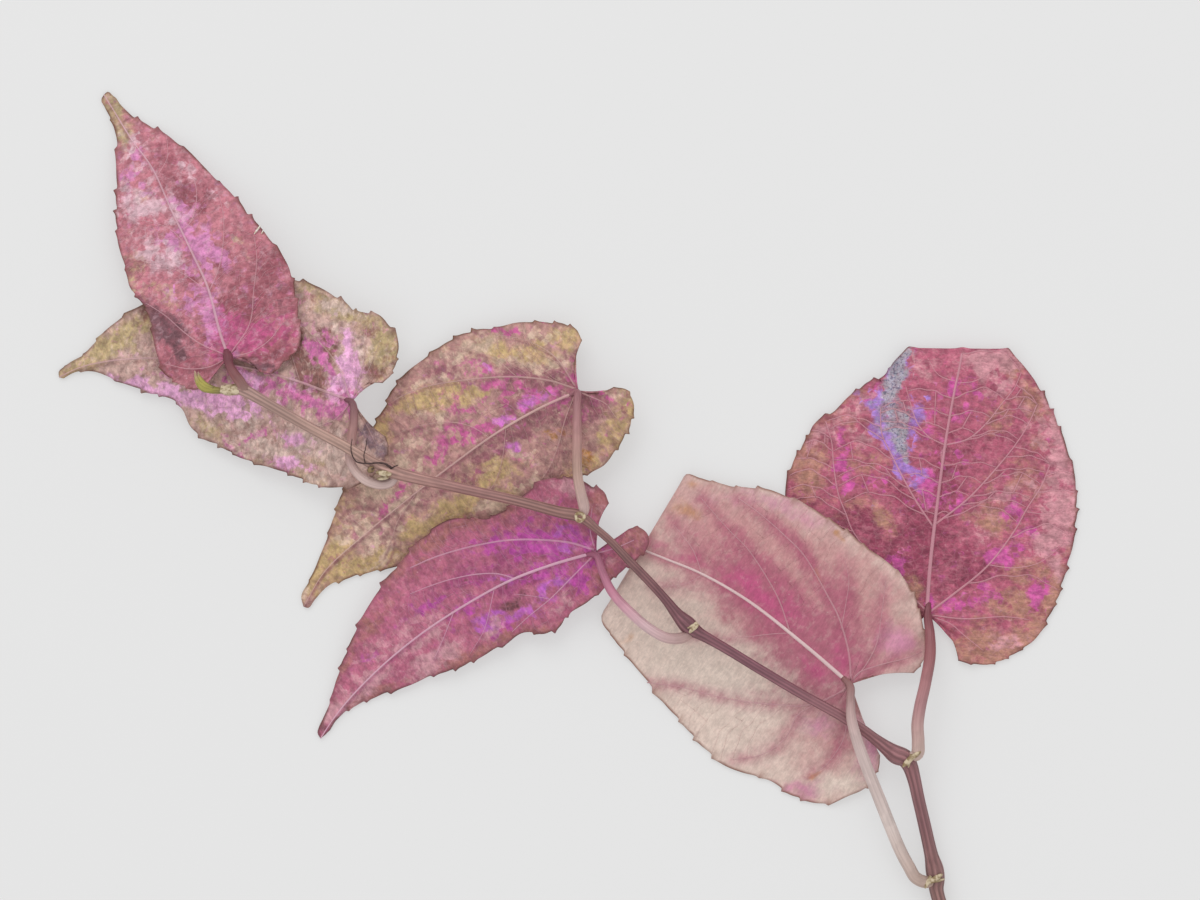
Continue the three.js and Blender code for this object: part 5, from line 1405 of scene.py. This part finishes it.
def build_veins(name, settings, colours, lines, flat, top):
    """Raised veins of one leaf. Each line has its first and last radius, its share of the midrib's
    colour, its skin, the points in its ring and how far it sinks."""
    leaf, style = LEAVES[name], LEAF_STYLE[name]
    fold = fold_of(leaf)
    rib, sides, ladders = lines
    start, end = leaf["rib_width"]
    size = style["rung_size"]
    specs = [(rib, start, end, 1.0, 1.0, 10, 0.35)]
    specs += [(line, width, TAPER * width, 0.3, style["side_skin"], 8, 0.4)
              for line, (_, width) in zip(sides, leaf["veins"])]
    specs += [(line, size, RUNG_TAPER * size, 0.0, style["rung_skin"], 5, 0.3) for line in ladders]
    upper = top if fold is None else top[past_fold(flat, fold) < FACE_END * MM]
    parts = []
    for line, first, last, main, skin, ring, sink in specs:
        if fold is not None:
            line = line[past_fold(line, fold) < VEIN_END * MM]
        if len(line) < 3:
            continue
        first, last = first * settings.vein_size, last * settings.vein_size
        part = ridge(line, lift(line, upper), first, last, ring, sink)
        parts.append((*part, np.full(len(part[0]), main), np.full(len(part[0]), skin)))
    points, faces, grain, main, skin = joined(parts)
    floats, across = leaf_markings(name, points, *lines)
    floats.update(main=main, skin=skin)
    vectors = {"grain": grain, "across": across}
    new_piece(name + "_veins", points, faces, vein_material(name, colours), leaf["slot"], [],
              floats, vectors)


def scale_part(base, tip, width, rows=14, columns=8):
    """Small pointed scale: its half width is width times the square root of a sine of the length,
    its middle is cupped by a cosine, and a thin lower face closes it."""
    a, b = place([base, tip])
    way = b - a
    side = unit(np.array([way[1], -way[0], 0]))
    t = np.linspace(0, 1, rows)[:, None, None]
    s = np.linspace(-1, 1, columns)[None, :, None]
    half = width * MM / 2 * np.sqrt(np.sin(np.pi * np.clip(0.12 + 0.88 * t, 0, 1)))
    cup = 0.35 * MM * np.cos(np.pi * s / 2) + 0.25 * MM * np.sin(np.pi * t)
    up = np.array([0, 0, 1.0])
    top = (a + t * way + s * half * side + cup * up).reshape(-1, 3)
    return np.vstack([top, top - 0.22 * MM * up]), closed_shell(grid_faces(rows, columns), rows * columns)


def cut_ring(middle, sides=32):
    """Low ring where a tendril was cut: a rounded profile turned round an upright axis, its radius
    made uneven by a sine of three waves."""
    profile = np.array(CUT_PROFILE) * MM
    angle = -ring_angles(sides)
    radius = profile[1:-1, :1] * (1 + 0.05 * np.sin(3 * angle + 1))
    body = np.stack([radius * np.cos(angle), radius * np.sin(angle),
                     np.broadcast_to(profile[1:-1, 1:], radius.shape)], axis=-1)
    ends = [[0, 0, profile[0, 1]], [0, 0, profile[-1, 1]]]
    points = np.vstack([body.reshape(-1, 3), ends]) + place([middle])[0]
    return points, rod_faces(*radius.shape)


def colour_property(label, words, code):
    """One colour that a user may change."""
    return bpy.props.FloatVectorProperty(name=label, description=words, default=linear(code), size=3,
                                         min=0.0, max=1.0, subtype="COLOR")


def colour_class(name, words, codes):
    """A property group with one colour for each word."""
    fields = {key: colour_property(label, text, code) for (key, label, text), code in zip(words, codes)}
    return type("Vine_" + name + "_colours", (bpy.types.PropertyGroup,),
                {"__annotations__": fields, "__doc__": "Colours of " + name})


def size_property(label, words, default, low, high, scale=None):
    """One share that a user may change, or with a scale one length."""
    kind = {"unit": "LENGTH"} if scale else {"subtype": "FACTOR"}
    default, low, high = (number * (scale or 1) for number in (default, low, high))
    return bpy.props.FloatProperty(name=label, description=words, default=default, min=low, max=high,
                                   **kind)


class VineSizes(bpy.types.PropertyGroup):
    """Sizes that a user may change"""
    thickness: size_property("Blade thickness", "Thickness of a leaf blade", 0.45, 0.2, BLADE, MM)
    relief: size_property("Quilting", "Depth of the blade between its veins", 0.3, 0.0, 0.6, MM)
    tooth: size_property("Tooth height", "Height of the margin's teeth", 0.8, 0.0, 2.0, MM)
    vein_size: size_property("Vein size", "Scale of the raised veins", 0.7, 0.3, 1.5)
    groove: size_property("Groove depth", "Depth of the stem's grooves", 0.06, 0.0, 0.2)


class VineColours(bpy.types.PropertyGroup):
    """Colours of the small parts"""
    cream: colour_property("Cream", "Pale stubs and scales", "CABA9E")
    cream_dark: colour_property("Cream shade", "Shaded side of stubs and scales", "86704E")
    green: colour_property("Green", "Leaf bud", "AAA054")
    green_dark: colour_property("Green shade", "Foot of the leaf bud", "8A7C50")
    bud_tip: colour_property("Bud tip", "Tip of the leaf bud", "B69488")
    dark: colour_property("Dark", "Tendril", "4A3432")
    shred: colour_property("Torn skin", "Shred on the rim of leaf_6", "E6E0DC")
    floor: colour_property("Floor", "Surface that the shoot lies on", "9A9A9A")


# Settings of the scene by name, each with the property group that holds it
SETTINGS = {"sizes": VineSizes, "colours": VineColours,
            "stem": colour_class("stem", STEM_WORDS, STEM_COLOURS)}
SETTINGS |= {name: colour_class(name, COLOUR_WORDS, codes) for name, codes in LEAF_COLOURS.items()}
SETTINGS |= {name: colour_class(name, STALK_WORDS, codes) for name, codes in STALK_COLOURS.items()}


def setting(name):
    """One of the scene's groups of settings."""
    return getattr(bpy.context.scene, "vine_" + name)


class VINE_OT_leaves(bpy.types.Operator):
    """Builds the six blades with their veins"""
    bl_idname = "vine.leaves"
    bl_label = "Leaves"

    def execute(self, context):
        for name in LEAVES:
            look = (name, setting("sizes"), setting(name), vein_lines(name))
            build_veins(*look, *build_blade(*look))
        return {"FINISHED"}


class VINE_OT_shred(bpy.types.Operator):
    """Builds the small pale shred of torn skin on the rim of leaf_6"""
    bl_idname = "vine.shred"
    bl_label = "Torn shred"

    def execute(self, context):
        colours = setting("colours")
        pale = small_material("Torn skin", colours.shred, colours.cream, 1500.0)
        new_piece("leaf_6_shred", *joined([scale_part(*shred) for shred in SHREDS]), pale, "rose_blade", [])
        return {"FINISHED"}


class VINE_OT_stem(bpy.types.Operator):
    """Builds the grooved zigzag stem"""
    bl_idname = "vine.stem"
    bl_label = "Stem"

    def execute(self, context):
        grooves = 8
        points, faces, grain, share = tube(STEM, 48, 0.6 * MM, grooves, setting("sizes").groove)
        angle = np.arctan2(grain[:, 2], grain[:, 1])
        stops = [getattr(setting("stem"), word[0]) for word in STEM_WORDS]
        # The last number is the strength of the painted shade in the stem's grooves.
        material = stalk_material("Grooved stem", stops, 0.42, 0.22, 0.25)
        floats = {"along": share, "groove": 0.5 - 0.5 * np.cos(grooves * angle)}
        new_piece("stem_rod", points, faces, material, "stem", ["stem"], floats, {"grain": grain})
        return {"FINISHED"}


class VINE_OT_stalks(bpy.types.Operator):
    """Builds the six leaf stalks"""
    bl_idname = "vine.stalks"
    bl_label = "Leaf stalks"

    def execute(self, context):
        for name, path in PETIOLES.items():
            points, faces, grain, share = tube(path, 28, 0.5 * MM, 5, 0.02)
            stops = [getattr(setting(name), word[0]) for word in STALK_WORDS]
            slot = "pale_stalk" if name == "petiole_1" else "rose_stalk"
            new_piece(name + "_rod", points, faces, stalk_material(name + " skin", stops, 0.38, 0.14), slot,
                      [name], {"along": share}, {"grain": grain})
        return {"FINISHED"}


class VINE_OT_stubs(bpy.types.Operator):
    """Builds the scales, the cut ring and the end stub at the joints"""
    bl_idname = "vine.stubs"
    bl_label = "Stubs and scales"

    def execute(self, context):
        colours = setting("colours")
        cream = small_material("Cream scale", colours.cream, colours.cream_dark, 900.0)
        stubs = {name + "_scale": joined([scale_part(*scale) for scale in scales])
                 for name, scales in SCALES.items()}
        stubs["stub_4_ring"] = cut_ring(CUT_PLACE)
        stubs["stub_6_end"] = tube(END_STUB, 20, 0.4 * MM, 3, 0.1)[:2]
        for name, solid in stubs.items():
            new_piece(name, *solid, cream, "cream_stub", [name[:len("stub_1")]])
        return {"FINISHED"}


class VINE_OT_buds(bpy.types.Operator):
    """Builds the side bud and the leaf bud at the growing end"""
    bl_idname = "vine.buds"
    bl_label = "Buds"

    def execute(self, context):
        colours = setting("colours")
        stops = [colours.green_dark, colours.green, colours.green, colours.bud_tip]
        green = stalk_material("Green bud", stops, 0.5, 0.3)
        brown = small_material("Brown bud", colours.cream_dark, colours.dark, 1200.0)
        new_piece("bud_5_knob", *tube(KNOB, 20, 0.15 * MM)[:2], brown, "green_bud", ["bud_5"])
        points, faces, grain, share = joined([tube(path, 20, 0.3 * MM, 4, 0.06) for path in LEAF_BUD])
        new_piece("bud_6_leaf", points, faces, green, "green_bud", ["bud_6"], {"along": share},
                  {"grain": grain})
        return {"FINISHED"}


class VINE_OT_tendril(bpy.types.Operator):
    """Builds the dark forked tendril"""
    bl_idname = "vine.tendril"
    bl_label = "Tendril"

    def execute(self, context):
        dark = setting("colours").dark
        material = small_material("Dark tendril", dark, [value * 0.5 for value in dark], 1500.0)
        wires = joined([tube(path, 12, 0.3 * MM)[:2] for path in TENDRIL])
        new_piece("tendril_wire", *wires, material, "dark_tendril", ["tendril"])
        return {"FINISHED"}


class VINE_OT_stage(bpy.types.Operator):
    """Builds the floor, the lights and the camera"""
    bl_idname = "vine.stage"
    bl_label = "Floor, lights and camera"

    def execute(self, context):
        scene = context.scene
        scene.view_settings.view_transform = "Standard"

        def placed(name, data):
            """A new object in the scene."""
            thing = bpy.data.objects.new(name, data)
            scene.collection.objects.link(thing)
            return thing

        mesh = bpy.data.meshes.new("floor")
        corners = ((-1, -1), (1, -1), (1, 1), (-1, 1))
        mesh.from_pydata([(x * FLOOR_SPAN, y * FLOOR_SPAN, -FLOOR_DEPTH) for x, y in corners], [],
                         [(0, 1, 2, 3)])
        material, nodes, shader = new_material("Pale floor", 0.9, 0.0)
        nodes.feed(shader, {"Base Color": colour(setting("colours").floor),
                            "Emission Color": (1.0, 1.0, 1.0, 1.0), "Emission Strength": FLOOR_GLOW})
        mesh.materials.append(material)
        placed("floor", mesh)
        world = bpy.data.worlds.new("Soft studio")
        world.use_nodes = True
        Nodes(world.node_tree).feed(world.node_tree.nodes["Background"], {0: (1, 1, 1, 1), 1: WORLD_LIGHT})
        scene.world = world
        for name, spot, size, power in LIGHTS:
            lamp = bpy.data.lights.new(name, "AREA")
            lamp.energy = power
            lamp.size = size
            holder = placed(name, lamp)
            holder.location = spot
            way = -unit(np.array(spot))
            holder.rotation_euler = (float(np.arccos(-way[2])), 0.0,
                                     float(np.arctan2(way[1], way[0]) - np.pi / 2))
        lens = bpy.data.cameras.new("camera")
        lens.sensor_width = SENSOR
        lens.lens = SENSOR * (CAMERA_HEIGHT - SHARP_HEIGHT) / (FRAME_STEPS[0] * STEP)
        lens.clip_end = 50.0
        camera = placed("camera", lens)
        camera.location = (*place([np.array(FRAME_STEPS) / 2])[0], CAMERA_HEIGHT)
        scene.camera = camera
        return {"FINISHED"}


OPERATORS = (VINE_OT_leaves, VINE_OT_shred, VINE_OT_stem, VINE_OT_stalks, VINE_OT_stubs, VINE_OT_buds,
             VINE_OT_tendril, VINE_OT_stage)


class VINE_PT_panel(bpy.types.Panel):
    """Build steps, sizes and colours of the shoot"""
    bl_label = "Vine shoot"
    bl_idname = "VINE_PT_panel"
    bl_space_type = "VIEW_3D"
    bl_region_type = "UI"
    bl_category = "Vine shoot"

    def draw(self, context):
        for kind in OPERATORS:
            self.layout.operator(kind.bl_idname)
        for name, kind in SETTINGS.items():
            box = self.layout.box()
            for key in kind.__annotations__:
                box.prop(setting(name), key)


CLASSES = (*SETTINGS.values(), *OPERATORS, VINE_PT_panel)


def register():
    """Adds the classes and the scene's settings."""
    for kind in CLASSES:
        bpy.utils.register_class(kind)
    for name, kind in SETTINGS.items():
        setattr(bpy.types.Scene, "vine_" + name, bpy.props.PointerProperty(type=kind))


def unregister():
    """Takes away what register added."""
    for name in SETTINGS:
        delattr(bpy.types.Scene, "vine_" + name)
    for kind in reversed(CLASSES):
        bpy.utils.unregister_class(kind)


def main():
    """Registers the classes, runs the build steps in order and writes both boxes."""
    register()
    for kind in OPERATORS:
        getattr(bpy.ops.vine, kind.bl_idname.split(".")[1])()
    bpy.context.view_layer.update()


if __name__ == "__main__":
    main()
